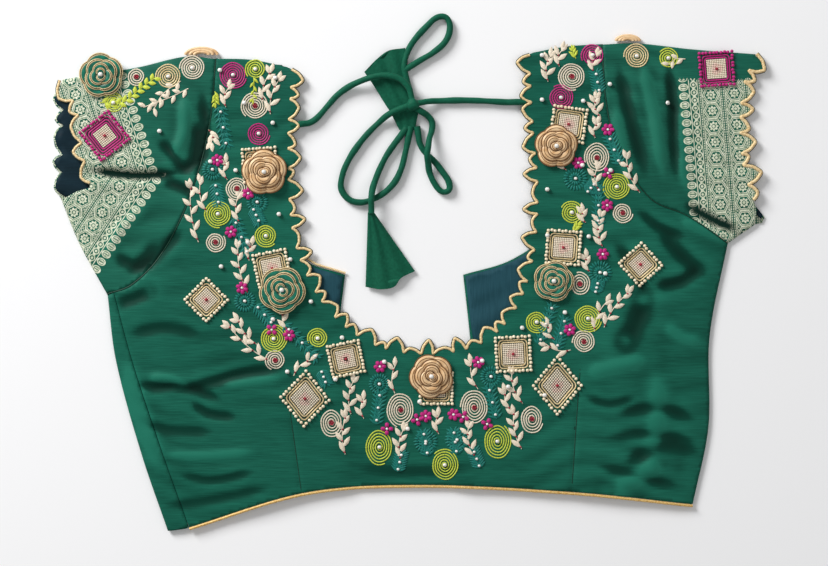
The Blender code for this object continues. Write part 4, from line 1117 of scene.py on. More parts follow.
def brocade():
    look = Look("green silk with woven border", 0.56, sheen=0.04, shine=0.12)
    at = look.node("ShaderNodeUVMap", {"uv_map": "border"}).outputs[0]
    split = look.node("ShaderNodeSeparateXYZ", None, Vector=at)
    u, v = Value(look, split.outputs[0]), Value(look, split.outputs[1])

    def cell(value, size):
        """Distance from the middle of the nearest repeat."""
        return (value / size).apply("FRACT") * size - size / 2

    def size_of(value):
        return value.apply("ABSOLUTE")

    def between(value, low, high):
        return (low - value).below(0.0) * value.below(high)

    def line(distance, radius, half):
        return size_of(distance - radius).below(half)

    def either(*masks):
        total = masks[0]
        for mask in masks[1:]:
            total = total.apply("MAXIMUM", mask)
        return total

    # Flowers of eight petals in double hexagons, with a lattice between the hexagons.
    a, b = cell(u - BORDER_START, COLUMN), cell(v, REPEAT)
    far = (a * a + b * b).apply("SQRT")
    angle = b.apply("ARCTAN2", a)
    petal_edge = size_of((angle * 4.0).apply("COSINE")) * 1.5 + 2.5
    petals = far.below(petal_edge) * (1.0 - line(far, 1.5, 0.3))
    hexagon = (size_of(a) * 0.87 + size_of(b) * 0.5).apply("MAXIMUM", size_of(b))
    lattice = either(size_of(cell(u + v, 2.6)).below(0.36), size_of(cell(u - v, 2.6)).below(0.36))
    lattice = lattice * (7.0 - hexagon).below(0.0)
    edge = COLUMN / 2 - size_of(a)
    rails = either(line(edge, 2.2, 0.35), line(edge, 0.9, 0.45) * size_of(cell(v, 2.0)).below(0.72))
    field = either(petals, line(hexagon, 5.0, 0.35), line(hexagon, 6.2, 0.45),
                   lattice * (2.6 - edge).below(0.0), rails)
    field = field * (BORDER_START - u).below(0.0)

    # A comb of tulips, each an oval with a dark vein, on a row of small points.
    tooth = cell(v, TULIP)
    oval = ((u - 4.6) / 4.0) * ((u - 4.6) / 4.0) + (tooth / 3.1) * (tooth / 3.1)
    veins = either(size_of(tooth).below(0.32), line(oval, 0.45, 0.09))
    comb = oval.below(1.0) * (1.0 - veins * between(u, 2.2, 7.2))

    # A column of circles with a bead in each and diamonds between them.
    ring_at = u - (COMB + CIRCLES / 2)
    step = cell(v, REPEAT / 2)
    circle = (ring_at * ring_at + step * step).apply("SQRT")
    between_circles = (size_of(ring_at) + size_of(cell(v + REPEAT / 4, REPEAT / 2))).below(1.5)
    circles = either(line(circle, 2.4, 0.5), circle.below(1.1), between_circles)
    circles = circles * between(u, COMB, BORDER_START)
    bars = either(line(u, COMB + 0.2, 0.4), line(u, BORDER_START - 0.8, 0.35))
    woven = either(field, comb, circles, bars)

    slub = look.noise(1.0, 3.0, WEAVE)
    wear = look.noise(420.0, 2.0)
    # the ground takes a painted highlight on crests, and shaded() below adds painted shade in
    # troughs
    ground = dyed_with_painted_highlight(look, slub, colour(6, 68, 54), colour(30, 108, 88))
    silver = look.mix((wear - 0.3) * 2.2, colour(176, 190, 158), colour(240, 240, 218))
    cover = woven * ((wear - 0.12) * 3.6).apply("MINIMUM", 1.0)
    rough = 0.56 - woven * 0.12
    tone = shaded(look, look.mix(cover, ground, silver))
    return look.finish(tone, slub * 0.5 + woven * 0.5, 0.0003, 0.45, rough)


border_silk = brocade()
UPPER_LEFT_COMB = ((-218, 126), 198)   # a point on the comb's edge, and the way in, in degrees
LOWER_LEFT_COMB = ((-228, 48), 146)
RIGHT_COMB = ((226, 120), 5)
LEFT_CREASE_HEIGHT = 91.0
RIGHT_BORDER_TOP = 168.0


def border_map(made, left):
    """Write (distance in from the comb, distance along it) for every face corner."""
    mesh = made.data
    places = np.empty(len(mesh.vertices) * 3)
    mesh.vertices.foreach_get("co", places)
    places = places.reshape(-1, 3)[:, :2] / MM
    corner = np.empty(len(mesh.loops), int)
    mesh.loops.foreach_get("vertex_index", corner)
    at = places[corner]
    middle = at.reshape(-1, 3, 2).mean(axis=1).repeat(3, axis=0)

    def mapped(comb):
        (x, y), degrees = comb
        in_x, in_y = math.cos(math.radians(degrees)), math.sin(math.radians(degrees))
        away = at - (x, y)
        return np.column_stack([away @ (in_x, in_y), away @ (-in_y, in_x)])

    if left:
        uv = np.where(middle[:, 1:] > LEFT_CREASE_HEIGHT, mapped(UPPER_LEFT_COMB),
                      mapped(LOWER_LEFT_COMB))
    else:
        uv = mapped(RIGHT_COMB)
        uv[middle[:, 1] > RIGHT_BORDER_TOP, 0] = -50
    layer = mesh.uv_layers.new(name="border")
    layer.data.foreach_set("uv", uv.ravel())

# %% [markdown]
# ## The sleeves
# Each is one cut, folded along the top of the arm and seamed under it.

# %% Sleeves
sleeve_seams = [curve(UNDERARM_LEFT, EDGE_STEP), curve(UNDERARM_RIGHT, EDGE_STEP)]
inside_left = scalloped(INSIDE_CUFF_LEFT, INSIDE_CUFF_PITCH, INSIDE_CUFF_REACH, -1)
cuff_left = scalloped(CUFF_LEFT, CUFF_LEFT_PITCH, CUFF_LEFT_REACH, -1)
cuff_right = scalloped(CUFF_RIGHT, CUFF_RIGHT_PITCH, CUFF_RIGHT_REACH)


def sleeve_height(x, y):
    return cloth_height(x, y, sleeve_seams)


for side, outside, top, piping, turn, armhole, underarm, inside_cuff in (
        ("left", -1, SLEEVE_TOP_LEFT, cuff_left, CUFF_TURN_LEFT, armhole_left,
         sleeve_seams[0], inside_left),
        ("right", 1, SLEEVE_TOP_RIGHT[::-1], cuff_right, CUFF_TURN_RIGHT, armhole_right,
         sleeve_seams[1], INSIDE_CUFF_RIGHT)):
    fold = curve(top, EDGE_STEP) - (0, FOLD_OUT)
    cuff_edge = offset(piping, -outside * 0.3)
    armhole = offset(armhole, outside * SEAM)
    armhole[0] = fold[-1] + (outside * SEAM, 0)
    fold[-1] = armhole[0]
    over = np.vstack([armhole, underarm[1:], turn[::-1], cuff_edge[:0:-1], fold[:1]])
    under = np.vstack([fold[:1], inside_cuff, underarm[:0:-1], armhole[::-1]])
    made = fold_cloth(f"sleeve_{side}_cloth", f"sleeve_{side}", "sleeve_silk", over, under, fold,
                      sleeve_height, False, border_silk)
    border_map(made, side == "left")

# %% [markdown]
# ## Linings
# They line the fronts at the neck and the inside of each sleeve, and show as darker cloth.

# %% Linings
LINING_WALL = 0.7
lining_middle = CLOTH + GAP + LINING / 2
for side, inward, neckline, centre_edge, shows, hidden in (
        ("left", -1, NECKLINE_LEFT, CENTRE_EDGE_LEFT, NECK_SHOWS_LEFT, FRONT_LINING_HIDDEN_LEFT),
        ("right", 1, NECKLINE_RIGHT, CENTRE_EDGE_RIGHT, NECK_SHOWS_RIGHT,
         FRONT_LINING_HIDDEN_RIGHT)):
    edge = np.vstack([curve(neckline)[-shows:], curve(centre_edge)[1:CENTRE_SHOWS]])
    outline = np.vstack([offset(edge, inward * LINING_INSET), hidden])
    lay_flat(f"front_lining_{side}_cloth", f"front_lining_{side}", "teal_lining", outline,
             lining_middle, teal_lining, 0.3, LINING_WALL)
sleeve_lining = np.vstack([offset(inside_left[1:], LINING_INSET), SLEEVE_LINING_HIDDEN_LEFT])
for side, outline, relief in (("left", sleeve_lining, 0.4), ("right", SLEEVE_LINING_RIGHT, 0.2)):
    lay_flat(f"sleeve_lining_{side}_cloth", f"sleeve_lining_{side}", "dark_lining", outline,
             lining_middle, dark_lining, relief, LINING_WALL)

# %% [markdown]
# ## Piping
# A cord covered in cream and gold cloth finishes the scallops, with a dark rim on its open
# side: the piping's edge with the shade it casts, painted as a thin dark cord. It follows the
# same lobes as the cloth, drawn with rounder sides, and its thickness swells a little stitch
# by stitch.

# %% Piping
def rounded(corners, step=1.0):
    """Points about a step apart along the straight runs, then eased round their corners."""
    total = gone_along(corners)[-1]
    path = at_lengths(corners, np.linspace(0, total, round(total / step) + 1))
    for _ in range(2):
        path[1:-1] = path[:-2] * 0.25 + path[1:-1] * 0.5 + path[2:] * 0.25
    return path


def piping_cord(name, node, path, height, radius, look, rim=0.0, slot="piping"):
    """A cord along an edge, and where rim is not 0 a thin dark cord that far to its left, as
    painted shade.
    """
    def laid(line, size, lift):
        gone = gone_along(line)
        swell = size * (1 + 0.08 * np.sin(gone * 2.1))
        return tube(np.column_stack([line, height(line[:, 0], line[:, 1]) + lift]), swell, 8)

    made = add_piece(name, *laid(path, radius, 0.25), look)
    stand_for(made, slot, node)
    if rim:
        # a thin dark cord at the piping's open edge: painted shade
        rim_line = rounded(offset(path, rim))
        edge = add_piece(f"{name}_rim", *laid(rim_line, 0.55, -0.3), THREADS["rim"])
    return made


def front_piping_height(x, y):
    return np.full_like(x, PIPING_HEIGHT / 2 + GAP)


hem_line = offset(hem, HEM_STRIP / 2)
front_line = offset(curve(NECKLINE_LEFT), PIPING / 2 + GAP)[-NECK_SHOWS_LEFT:]
#    piece, node, path, height, radius, thread, how far to its left the dark rim lies
PIPED_EDGES = (
    ("neck_cord", "neck_piping", rounded(neck), back_height, 1.15, "piping", 1.3),
    ("hem_cord", "hem_piping", rounded(hem_line, 2.0), back_height, 1.2, "hem", 0.0),
    ("cuff_cord_left", "sleeve_piping_left", rounded(cuff_left), cloth_height, 1.15,
     "piping", -1.3),
    ("cuff_cord_right", "sleeve_piping_right", rounded(cuff_right), cloth_height, 1.45,
     "piping", 1.5),
    ("front_neck_cord", "front_neck_piping", rounded(front_line), front_piping_height, 0.9,
     "piping", 0.0),
)
for *edge, thread_name, rim in PIPED_EDGES:
    piping_cord(*edge, THREADS[thread_name], rim)
print("piping on", len(PIPED_EDGES), "edges")

# %% [markdown]
# ## Fabric roses
# A strip of satin is folded and rolled into a bud, and petals are sewn round it. A petal is a
# fat oval band on an arc: it starts tucked inside its neighbour, swells outward and ends
# outside the next. Four rings of them, each lower than the one inside, make the rose. The
# folded edge of every petal shows as a cord on its crest.

# %% Roses
#        share of radius, petals, span in turns, height, half width as a share of the radius
PETAL_RINGS = ((0.17, 2, 0.55, 6.0, 0.11), (0.38, 3, 0.42, 5.2, 0.15), (0.60, 4, 0.35, 3.9, 0.18),
               (0.83, 5, 0.29, 2.0, 0.20))
PETAL_POINTS = 26
PETAL_SQUASH = 0.62
# Cords on a petal's crest: how far across the petal, thread, radius
CREST_GREEN = ((0.92, "gold", 0.56), (0.7, "brown", 0.42), (0.5, "gold", 0.34))
CREST_PEACH = ((0.93, "outline", 0.58), (0.2, "outline", 0.26))
CUSHION = ((-1.0, 0.9), (0.6, 0.9), (2.2, 0.7), (4.0, 0.35))      # (height, share of radius)
CUSHION_SIDES = 36
HEART_HEIGHT = 7.3       # the pearl in the middle, over the rose's foot


def petal(x, y, radius, base, ring, first):
    """An arc that stands out in its middle and dives inward and down at both ends."""
    share, _, span, height, half_width = ring
    t = np.linspace(0, 1, PETAL_POINTS)
    swell = np.sin(math.pi * t) ** 0.8
    angle = first + (t - 0.5) * span * 2 * math.pi
    reach = radius * (share - 0.13 + 0.15 * swell + 0.05 * (t - 0.5))
    lift = base + height - 1.3 + 1.3 * swell + 0.7 * (t - 0.5)
    path = np.column_stack([x + reach * np.cos(angle), y + reach * np.sin(angle), lift])
    fat = radius * half_width * (0.45 + 0.55 * swell)
    outward = np.column_stack([np.cos(angle), np.sin(angle), 0 * t])
    return path, fat, outward


def rose_satin(name, node, x, y, radius, green):
    slot = "green_rose_cloth" if green else "rose_cloth"
    base = float(cloth_height(np.array([x]), np.array([y]))[0]) + CLOTH
    bands, crests = [], {}
    for order, ring in enumerate(PETAL_RINGS):
        for k in range(ring[1]):
            first = k / ring[1] * 2 * math.pi + order * 1.1 + x * 0.13
            path, fat, outward = petal(x, y, radius, base, ring, first)
            bands.append(tube(path, fat, 14, PETAL_SQUASH))
            for across, thread_name, size in CREST_GREEN if green else CREST_PEACH:
                up = (0.98 * PETAL_SQUASH * math.sqrt(1 - across**2)) * fat
                line = path + outward * (across * fat)[:, None] + (0, 0, 1) * up[:, None]
                crests.setdefault(thread_name, []).append(tube(line, size, 6))
    turn = np.arange(CUSHION_SIDES) * 2 * math.pi / CUSHION_SIDES
    cushion = np.array([[(x + radius * r * math.cos(t), y + radius * r * math.sin(t), base + h)
                         for t in turn] for h, r in CUSHION])
    bands.append((cushion.reshape(-1, 3), ring_faces(len(CUSHION), CUSHION_SIDES)))
    made = add_piece(name, *joined(bands), THREADS["green_satin" if green else "satin"])
    stand_for(made, slot, node)
    for thread_name, lines in crests.items():
        add_piece(f"{name}_{thread_name}", *joined(lines), THREADS[thread_name])
    return (x, y, base + HEART_HEIGHT)


rose_hearts = []
for name, x, y, radius in rose_places():
    green = name in ("rose_side_left", "rose_side_right", "rose_sleeve")
    rose_hearts.append(rose_satin(f"{name}_satin", name, x, y, radius, green))


def peeking_satin(name, x, chord_y, half_width, reach):
    """Three rolled bands, each a half oval, that show past the shoulder."""
    parts = []
    for share in (1.0, 0.72, 0.45):
        angle = np.linspace(0.05, math.pi - 0.05, 40)
        path = np.column_stack([x + half_width * share * 0.88 * np.cos(angle),
                                chord_y + reach * share * 0.82 * np.sin(angle),
                                1.9 + 0 * angle + (1 - share)])
        parts.append(tube(path, 1.35, 10, 1.1))
    made = add_piece(f"{name}_satin", *joined(parts), THREADS["satin"])
    stand_for(made, "rose_cloth", name)


for row in peeking_places():
    peeking_satin(*row)
print(len(rose_hearts) + len(PEEKS), "roses")

# %% [markdown]
# ## The embroidery's plan
# The embroidery is a band that follows the neck. So each motif is placed by two lengths in
# millimetres: how far along the neck edge from the left shoulder, and how far out from it. The
# band then bends with the neck.

# %% A place in the band
neck_line = curve(NECK, 3.0)
neck_gone = gone_along(neck_line)
BAND_SMOOTHING = 30.0


def in_band(along, out):
    """The point out from the neck edge, square to its direction over a good stretch."""
    along, out = np.broadcast_arrays(np.asarray(along, float), np.asarray(out, float))
    flat = along.ravel()
    ahead = at_lengths(neck_line, np.clip(flat + BAND_SMOOTHING, 0, neck_gone[-1]))
    behind = at_lengths(neck_line, np.clip(flat - BAND_SMOOTHING, 0, neck_gone[-1]))
    beyond = np.clip(flat, 0, neck_gone[-1])
    way = ahead - behind
    way /= np.linalg.norm(way, axis=1)[:, None]
    spot = at_lengths(neck_line, beyond) + way * (flat - beyond)[:, None]
    return spot - left_of(way) * out.ravel()[:, None], np.arctan2(way[:, 1], way[:, 0])


STITCHED = {name: [] for name in THREADS}


def stitch(thread_name, *parts):
    STITCHED[thread_name].extend(parts)

# %% [markdown]
# ## Spirals
# A twisted thread is wound from the middle outward and couched down. The distance from the
# middle grows evenly with the angle, and the thread swells along its twist.

# %% Spirals
SPIRAL_PITCH = 1.8
THREAD_RADIUS = 0.56
# Half length, width and thickness of a bead
SPIRAL_PEARL = (1.7, 3.4, 3.4)
SPIRAL_SEED = (0.8, 1.6, 1.6)


def spiral(x, y, radius, tall, colour_name, heart, start=0.0):
    turns = radius / SPIRAL_PITCH - 0.6
    length = math.pi * radius**2 / SPIRAL_PITCH
    s = np.sqrt(np.linspace(0.012, 1, int(length / 1.1)))
    angle = s * turns * 2 * math.pi + start
    reach = s * (radius - THREAD_RADIUS)
    wave = 1 + 0.012 * np.sin(5 * angle + start)
    gone = np.linspace(0, length, len(s))
    path = np.column_stack([x + reach * wave * np.cos(angle),
                            y + reach * wave * tall * np.sin(angle), 0.35 + 0 * s])
    stitch(colour_name, tube(path, THREAD_RADIUS * (1 + 0.2 * np.sin(gone * 2.4)), 5, 0.9))
    if heart == "pearl":
        stitch("pearl", copies(BEAD, x, y, 1.5, 0, *SPIRAL_PEARL))
    else:
        around = np.arange(6) * math.pi / 3
        ring_x, ring_y = x + 1.5 * np.cos(around), y + 1.5 * np.sin(around)
        ring_x, ring_y = np.append(ring_x, x), np.append(ring_y, y)
        stitch("red", copies(BEAD, ring_x, ring_y, 1.1, 0, *SPIRAL_SEED))


#   along  out  radius  tall  thread
SPIRALS = (
    (2, 30, 9, 1.0, "lime"), (8, 48, 12, 1.0, "magenta"),
    (32, 28, 12, 1.0, "cream"), (54, 24, 10, 1.0, "magenta"),
    (97, 42, 10, 1.0, "cream"), (114, 59, 12, 1.0, "lime"),
    (132, 64, 9, 1.0, "cream"), (134, 22, 10, 1.0, "lime"),
    (199, 50, 12, 1.0, "lime"), (209, 60, 9, 1.0, "cream"),
    (217, 22, 9, 1.0, "lime"), (251, 73, 10, 1.25, "cream"),
    (276, 80, 12, 1.3, "lime"), (284, 47, 12, 1.25, "cream"),
    (308, 92, 12, 1.15, "lime"), (327, 48, 12, 1.25, "cream"),
    (333, 80, 12, 1.3, "lime"), (350, 75, 10, 1.25, "cream"),
    (387, 20, 10, 1.0, "lime"), (391, 62, 10, 1.0, "cream"),
    (403, 57, 12, 1.0, "lime"), (421, 42, 9, 1.15, "cream"),
    (471, 28, 10, 1.0, "lime"), (472, 70, 9, 1.0, "cream"),
    (490, 65, 12, 1.0, "lime"), (512, 50, 11, 1.2, "cream"),
    (564, 24, 11, 1.0, "magenta"), (581, 34, 12, 1.0, "cream"),
    (598, 52, 10, 1.0, "magenta"),
)
for along, out, radius, tall, colour_name in SPIRALS:
    spot, _ = in_band(along, out)
    heart = "red" if colour_name == "cream" else "pearl"
    spiral(*spot[0], radius, tall, colour_name, heart, along * 0.7)


def on_sleeve(side, along, down):
    """A place by its length along the sleeve's top edge, from its left end, and down from it."""
    return from_edge(SLEEVE_TOP_LEFT if side == "left" else SLEEVE_TOP_RIGHT, [along], [down])[0]


#   side    along  down  radius  thread  heart
SLEEVE_SPIRALS = (
    ("left", 110, 10, 11, "cream", "pearl"), ("left", 86, 14, 11, "gold", "pearl"),
    ("left", 39, 26, 9, "lime", "pearl"), ("left", 61, 8, 8, "cream", "red"),
    ("right", 29, 11, 11, "gold", "pearl"), ("right", 56, 10, 9, "lime", "pearl"),
)
for side, along, down, radius, colour_name, heart in SLEEVE_SPIRALS:
    spiral(*on_sleeve(side, along, down), radius, 1.0, colour_name, heart)
print(len(SPIRALS) + len(SLEEVE_SPIRALS), "spirals")

# %% [markdown]
# ## Beaded squares
# A ring of beads stands round nested twisted cords with dark gaps between them, and the middle
# is filled with tiny seed beads round a red one. The dark gaps are thin dark cords, painted
# shade. One function in the square's own axes makes them all; a corner tilt turns some into
# diamonds.

# %% Beaded squares
BORDER_BEAD = 3.0
SQUARE_BEAD = (1.4, BORDER_BEAD, BORDER_BEAD)
SQUARE_SEED = (0.8, 1.75, 1.3)
SQUARE_HEART = (1.3, 2.8, 2.8)
CORD_PITCH = 1.9


def square_path(half, corner=1.2):
    """Once round a square with rounded corners, closed."""
    turn = np.linspace(0, 2 * math.pi, 57)
    fold = 1 / np.maximum(np.abs(np.cos(turn)), np.abs(np.sin(turn)))
    fold = np.minimum(fold, 1.414 - corner * 0.08)
    return np.column_stack([half * fold * np.cos(turn), half * fold * np.sin(turn)])


def beaded_square(x, y, half, turn, beads="pearl", cords=("gold", "gold"), tall=1.0):
    def placed(points, height):
        px, py = points[:, 0], points[:, 1]
        cos, sin = math.cos(math.radians(turn)), math.sin(math.radians(turn))
        return np.column_stack([x + px * cos - py * sin, y + (px * sin + py * cos) * tall,
                                height + 0 * px])

    ring = half - BORDER_BEAD / 2
    count = round(2 * ring / BORDER_BEAD)
    step = np.linspace(-ring, ring, count + 1)[:-1]
    side = np.column_stack([step, 0 * step - ring])
    sides = np.vstack([side, side[:, ::-1] * (-1, 1), -side, side[:, ::-1] * (1, -1)])
    order = np.arange(len(sides))
    sides = sides + 0.3 * np.column_stack([np.sin(2.1 * order + half), np.cos(3.3 * order + turn)])
    spots = placed(sides, 1.3)
    stitch(beads, copies(BEAD, spots[:, 0], spots[:, 1], 1.3, 0, *SQUARE_BEAD))
    inner = half - BORDER_BEAD - 0.9
    for k, cord_name in enumerate(cords):
        at = inner - k * CORD_PITCH
        stitch(cord_name, tube(placed(square_path(at), 0.5), 0.6, 6))
        # a thin dark cord in the gap between two cords: painted shade
        stitch("rim", tube(placed(square_path(at - CORD_PITCH / 2), 0.25), 0.5, 5))
    core = inner - len(cords) * CORD_PITCH
    grid_step = np.linspace(-core, core, max(4, round(core / 0.68)))
    gx, gy = (g.ravel() for g in np.meshgrid(grid_step, grid_step))
    far = np.maximum(np.abs(gx), np.abs(gy)) > 1.2
    seeds = placed(np.column_stack([gx[far], gy[far]]), 0.7)
    tinted = np.hypot(gx[far], gy[far]) < 0.62 * core + 0.5 * np.sin(9 * gx[far] + 5 * gy[far])
    for part, name in ((tinted, "blush"), (~tinted, "cream")):
        if part.any():
            stitch(name, copies(BEAD, seeds[part, 0], seeds[part, 1], 0.7, 0.4, *SQUARE_SEED))
    stitch("red", copies(BEAD, x, y, 1.3, 0, *SQUARE_HEART))


#   along  out  half  turn  tall
SQUARES = (
    (79, 23, 15, 4, 1.0), (158, 24, 15, 12, 1.0), (162, 84, 14, 45, 1.0),
    (241, 21, 14.5, 12, 1.0), (234, 67, 15.5, 42, 1.15), (306, 28, 14.5, 0, 1.0),
    (361, 22, 15.5, 3, 1.0), (367, 66, 15.5, 45, 1.2),
    (444, 23, 15, -4, 1.0), (440, 88, 14, 42, 1.0), (541, 29, 15, -8, 1.0),
)
for along, out, half, turn, tall in SQUARES:
    spot, _ = in_band(along, out)
    beaded_square(*spot[0], half, turn, "bead", tall=tall)
beaded_square(*on_sleeve("left", 28, 52), 16, 38, "magenta", ("magenta", "magenta", "magenta"))
beaded_square(*on_sleeve("right", 96, 15), 15, 4, "magenta", ("magenta", "magenta"))
print(len(SQUARES) + 2, "beaded squares")

# %% [markdown]
# ## Leaves, berries and ferns
# A leaf is one padded stitch: pointed at both ends and round on top. A branch is a thin stem
# with leaves to either side, a fern the same in thin teal stitches with pearls, a rosette a
# ring of stitches, and a berry a few knots round a pearl.

# %% Leaves and small motifs
STEM_SEED = (0.8, 1.6, 1.5)
FERN_PEARL = (1.2, 2.4, 2.4)
ROSETTE_PEARL = (1.4, 2.8, 2.8)
BERRY_KNOT = (2.1, 4.0, 2.6)
BERRY_PEARL = (1.1, 2.3, 2.3)


def branch(along_from, out_from, along_to, out_to, leaves=7, length=10.6, width=4.1,
           name="cream", bow=3.0):
    """A bowed stem with leaves to either side that lean towards its tip, and one at the tip."""
    ends, _ = in_band([along_from, along_to], [out_from, out_to])
    way = ends[1] - ends[0]
    share = np.linspace(0, 1, 14)
    stem = ends[0] + way * share[:, None] + left_of(way) * (bow * 4 * share * (1 - share))[:, None]
    stitch(name, tube(np.column_stack([stem, 0 * share + 0.3]), 0.42, 5))
    at = (np.arange(leaves) + 0.4) / leaves
    roots = at_lengths(stem, at * gone_along(stem)[-1])
    heading = math.atan2(way[1], way[0])
    side = np.where(np.arange(leaves) % 2 == 0, 1, -1)
    turn = heading + side * (0.62 + 0.14 * np.sin(7 * at + along_from))
    size = length * (1 - 0.25 * at)
    stitch(name, copies(LEAF, roots[:, 0], roots[:, 1], 0.55, turn, size, width, 1.4))
    stitch(name, copies(LEAF, *stem[-2], 0.55, heading, length * 0.8, width, 1.4))
    if name == "cream":
        stitch("red", copies(BEAD, roots[::2, 0], roots[::2, 1], 0.95, 0, *STEM_SEED))


def fern(along_from, out_from, along_to, out_to, pairs=8, name="teal"):
    """A stem with pairs of thin stitches that point to its tip, and a pearl at every third."""
    ends, _ = in_band([along_from, along_to], [out_from, out_to])
    way = ends[1] - ends[0]
    share = np.linspace(0, 1, pairs)
    spots = ends[0] + way * share[:, None]
    heading = math.atan2(way[1], way[0])
    stitch(name, tube(np.column_stack([spots, 0 * share + 0.3]), 0.5, 5))
    for side in (-1, 1):
        for lean, length in ((1.0, 7.6), (0.5, 6.2)):
            turn = heading + side * lean
            stitch(name, copies(LEAF, *spots.T, 0.45, turn, length, 2.0, 1.1))
    stitch("pearl", copies(BEAD, *spots[1::3].T, 1.4, 0, *FERN_PEARL))


def rosette(along, out, radius):
    """Two rings of stitches that point outward, round a pearl."""
    (spot,), _ = in_band([along], [out])
    for count, start, reach in ((22, 0.58, 0.46), (14, 0.2, 0.38)):
        turn = np.arange(count) * 2 * math.pi / count + count
        root_x = spot[0] + np.cos(turn) * radius * start
        root_y = spot[1] + np.sin(turn) * radius * start
        stitch("teal", copies(LEAF, root_x, root_y, 0.45, turn, radius * reach, 1.9, 1.2))
    stitch("pearl", copies(BEAD, *spot, 1.4, 0, *ROSETTE_PEARL))


def berries(along, out, knots=6):
    """A ring of knots round a pearl."""
    (spot,), _ = in_band([along], [out])
    turn = np.arange(knots) * 2 * math.pi / knots + along
    ring_x, ring_y = spot[0] + 3.2 * np.cos(turn), spot[1] + 3.2 * np.sin(turn)
    stitch("magenta", copies(BEAD, ring_x, ring_y, 0.9, turn, *BERRY_KNOT))
    stitch("pearl", copies(BEAD, *spot, 1.3, 0, *BERRY_PEARL))


BRANCHES = (        # from (along, out) to (along, out), and the number of leaves
    (38, 15, 8, 9, 6), (28, 22, 2, 16, 5), (34, 52, 18, 50, 4), (130, 78, 92, 80, 7),
    (112, 68, 90, 72, 4), (122, 42, 102, 41, 4), (90, 50, 76, 50, 3), (168, 50, 136, 46, 8),
    (148, 40, 138, 34, 3), (207, 64, 178, 76, 7), (196, 64, 178, 66, 5), (200, 36, 188, 30, 3),
    (222, 58, 224, 38, 3), (258, 60, 252, 33, 6), (262, 93, 256, 62, 7), (265, 60, 262, 44, 3),
    (279, 34, 276, 10, 3), (287, 88, 287, 62, 6), (306, 66, 307, 50, 3), (322, 88, 322, 62, 6),
    (332, 34, 334, 10, 3), (341, 93, 345, 62, 7), (350, 60, 354, 33, 6), (344, 60, 346, 44, 3),
    (384, 56, 379, 36, 3), (384, 40, 390, 30, 3), (402, 72, 424, 84, 7), (398, 66, 416, 68, 4),
    (410, 34, 420, 30, 3), (448, 55, 470, 52, 8), (464, 40, 472, 38, 3), (430, 48, 440, 44, 3),
    (488, 50, 505, 50, 4), (486, 84, 512, 74, 6), (528, 50, 540, 54, 3), (546, 55, 562, 54, 6),
    (584, 52, 598, 56, 4), (578, 14, 600, 18, 6), (590, 24, 604, 28, 4), (504, 24, 514, 22, 3),
    (52, 66, 62, 64, 4),
)
FERNS = (        # from (along, out) to (along, out)
    (34, 57, 62, 51), (92, 60, 106, 58), (112, 30, 122, 26), (118, 46, 142, 40),
    (196, 36, 224, 34), (176, 48, 190, 44), (232, 40, 238, 46), (272, 62, 270, 38),
    (286, 98, 287, 84), (300, 84, 298, 66), (314, 84, 314, 66), (323, 98, 322, 84),
    (336, 62, 338, 38), (376, 32, 400, 26), (380, 46, 396, 40), (462, 50, 488, 50),
    (486, 40, 492, 46), (506, 68, 526, 62), (566, 56, 582, 54), (418, 56, 424, 56),
)
ROSETTES = (        # along, out, radius
    (82, 62, 9), (108, 26, 9), (171, 55, 9), (268, 29, 9), (299, 72, 10), (315, 72, 10),
    (342, 28, 9), (431, 56, 10), (497, 31, 10),
)
BERRIES = (        # along, out, and the knots where they aren't six
    (75, 58), (101, 33), (127, 50), (163, 53), (203, 38), (194, 47, 4), (265, 15), (299, 51),
    (315, 51), (278, 64, 4), (331, 64, 4), (338, 13), (393, 47), (443, 56), (477, 57),
    (500, 58, 4), (509, 34), (534, 61), (294, 54, 4), (320, 54, 4),
)
LIME_BRANCHES = (
    (8, 31, 28, 30), (22, 62, 32, 61), (596, 38, 604, 36), (456, 30, 462, 34),
)
for make, table in ((branch, BRANCHES), (fern, FERNS), (rosette, ROSETTES), (berries, BERRIES)):
    for row in table:
        make(*row)
for row in LIME_BRANCHES:
    branch(*row, 6, 6.0, 2.2, "lime", 0.5)
print(len(BRANCHES), "branches of leaves")

# %% [markdown]
# ## Sprigs on the sleeves and scattered pearls
# The last motifs on the sleeves lie outside the band: sprigs of lime or cream leaves, and a
# single pearl on each. The pearls in the band stand in three evenly spaced rows, each of which
# wanders a little inward and outward.

# %% Sprigs and pearls
def sleeve_sprig(points, leaves, name, length=7.0):
    """Leaves to either side of a smooth line."""
    stem = curve(points, 2.0)
    stitch(name, tube(np.column_stack([stem, 0 * stem[:, 0] + 0.3]), 0.42, 5))
    total = gone_along(stem)[-1]
    at = np.linspace(2, total - 2, leaves)
    spots, ahead = at_lengths(stem, at), at_lengths(stem, at + 1.5)
    heading = np.arctan2(*(ahead - spots).T[::-1])
    side = np.where(np.arange(leaves) % 2 == 0, 0.75, -0.75)
    stitch(name, copies(LEAF, spots[:, 0], spots[:, 1], 0.55, heading + side, length, 3.6, 1.4))


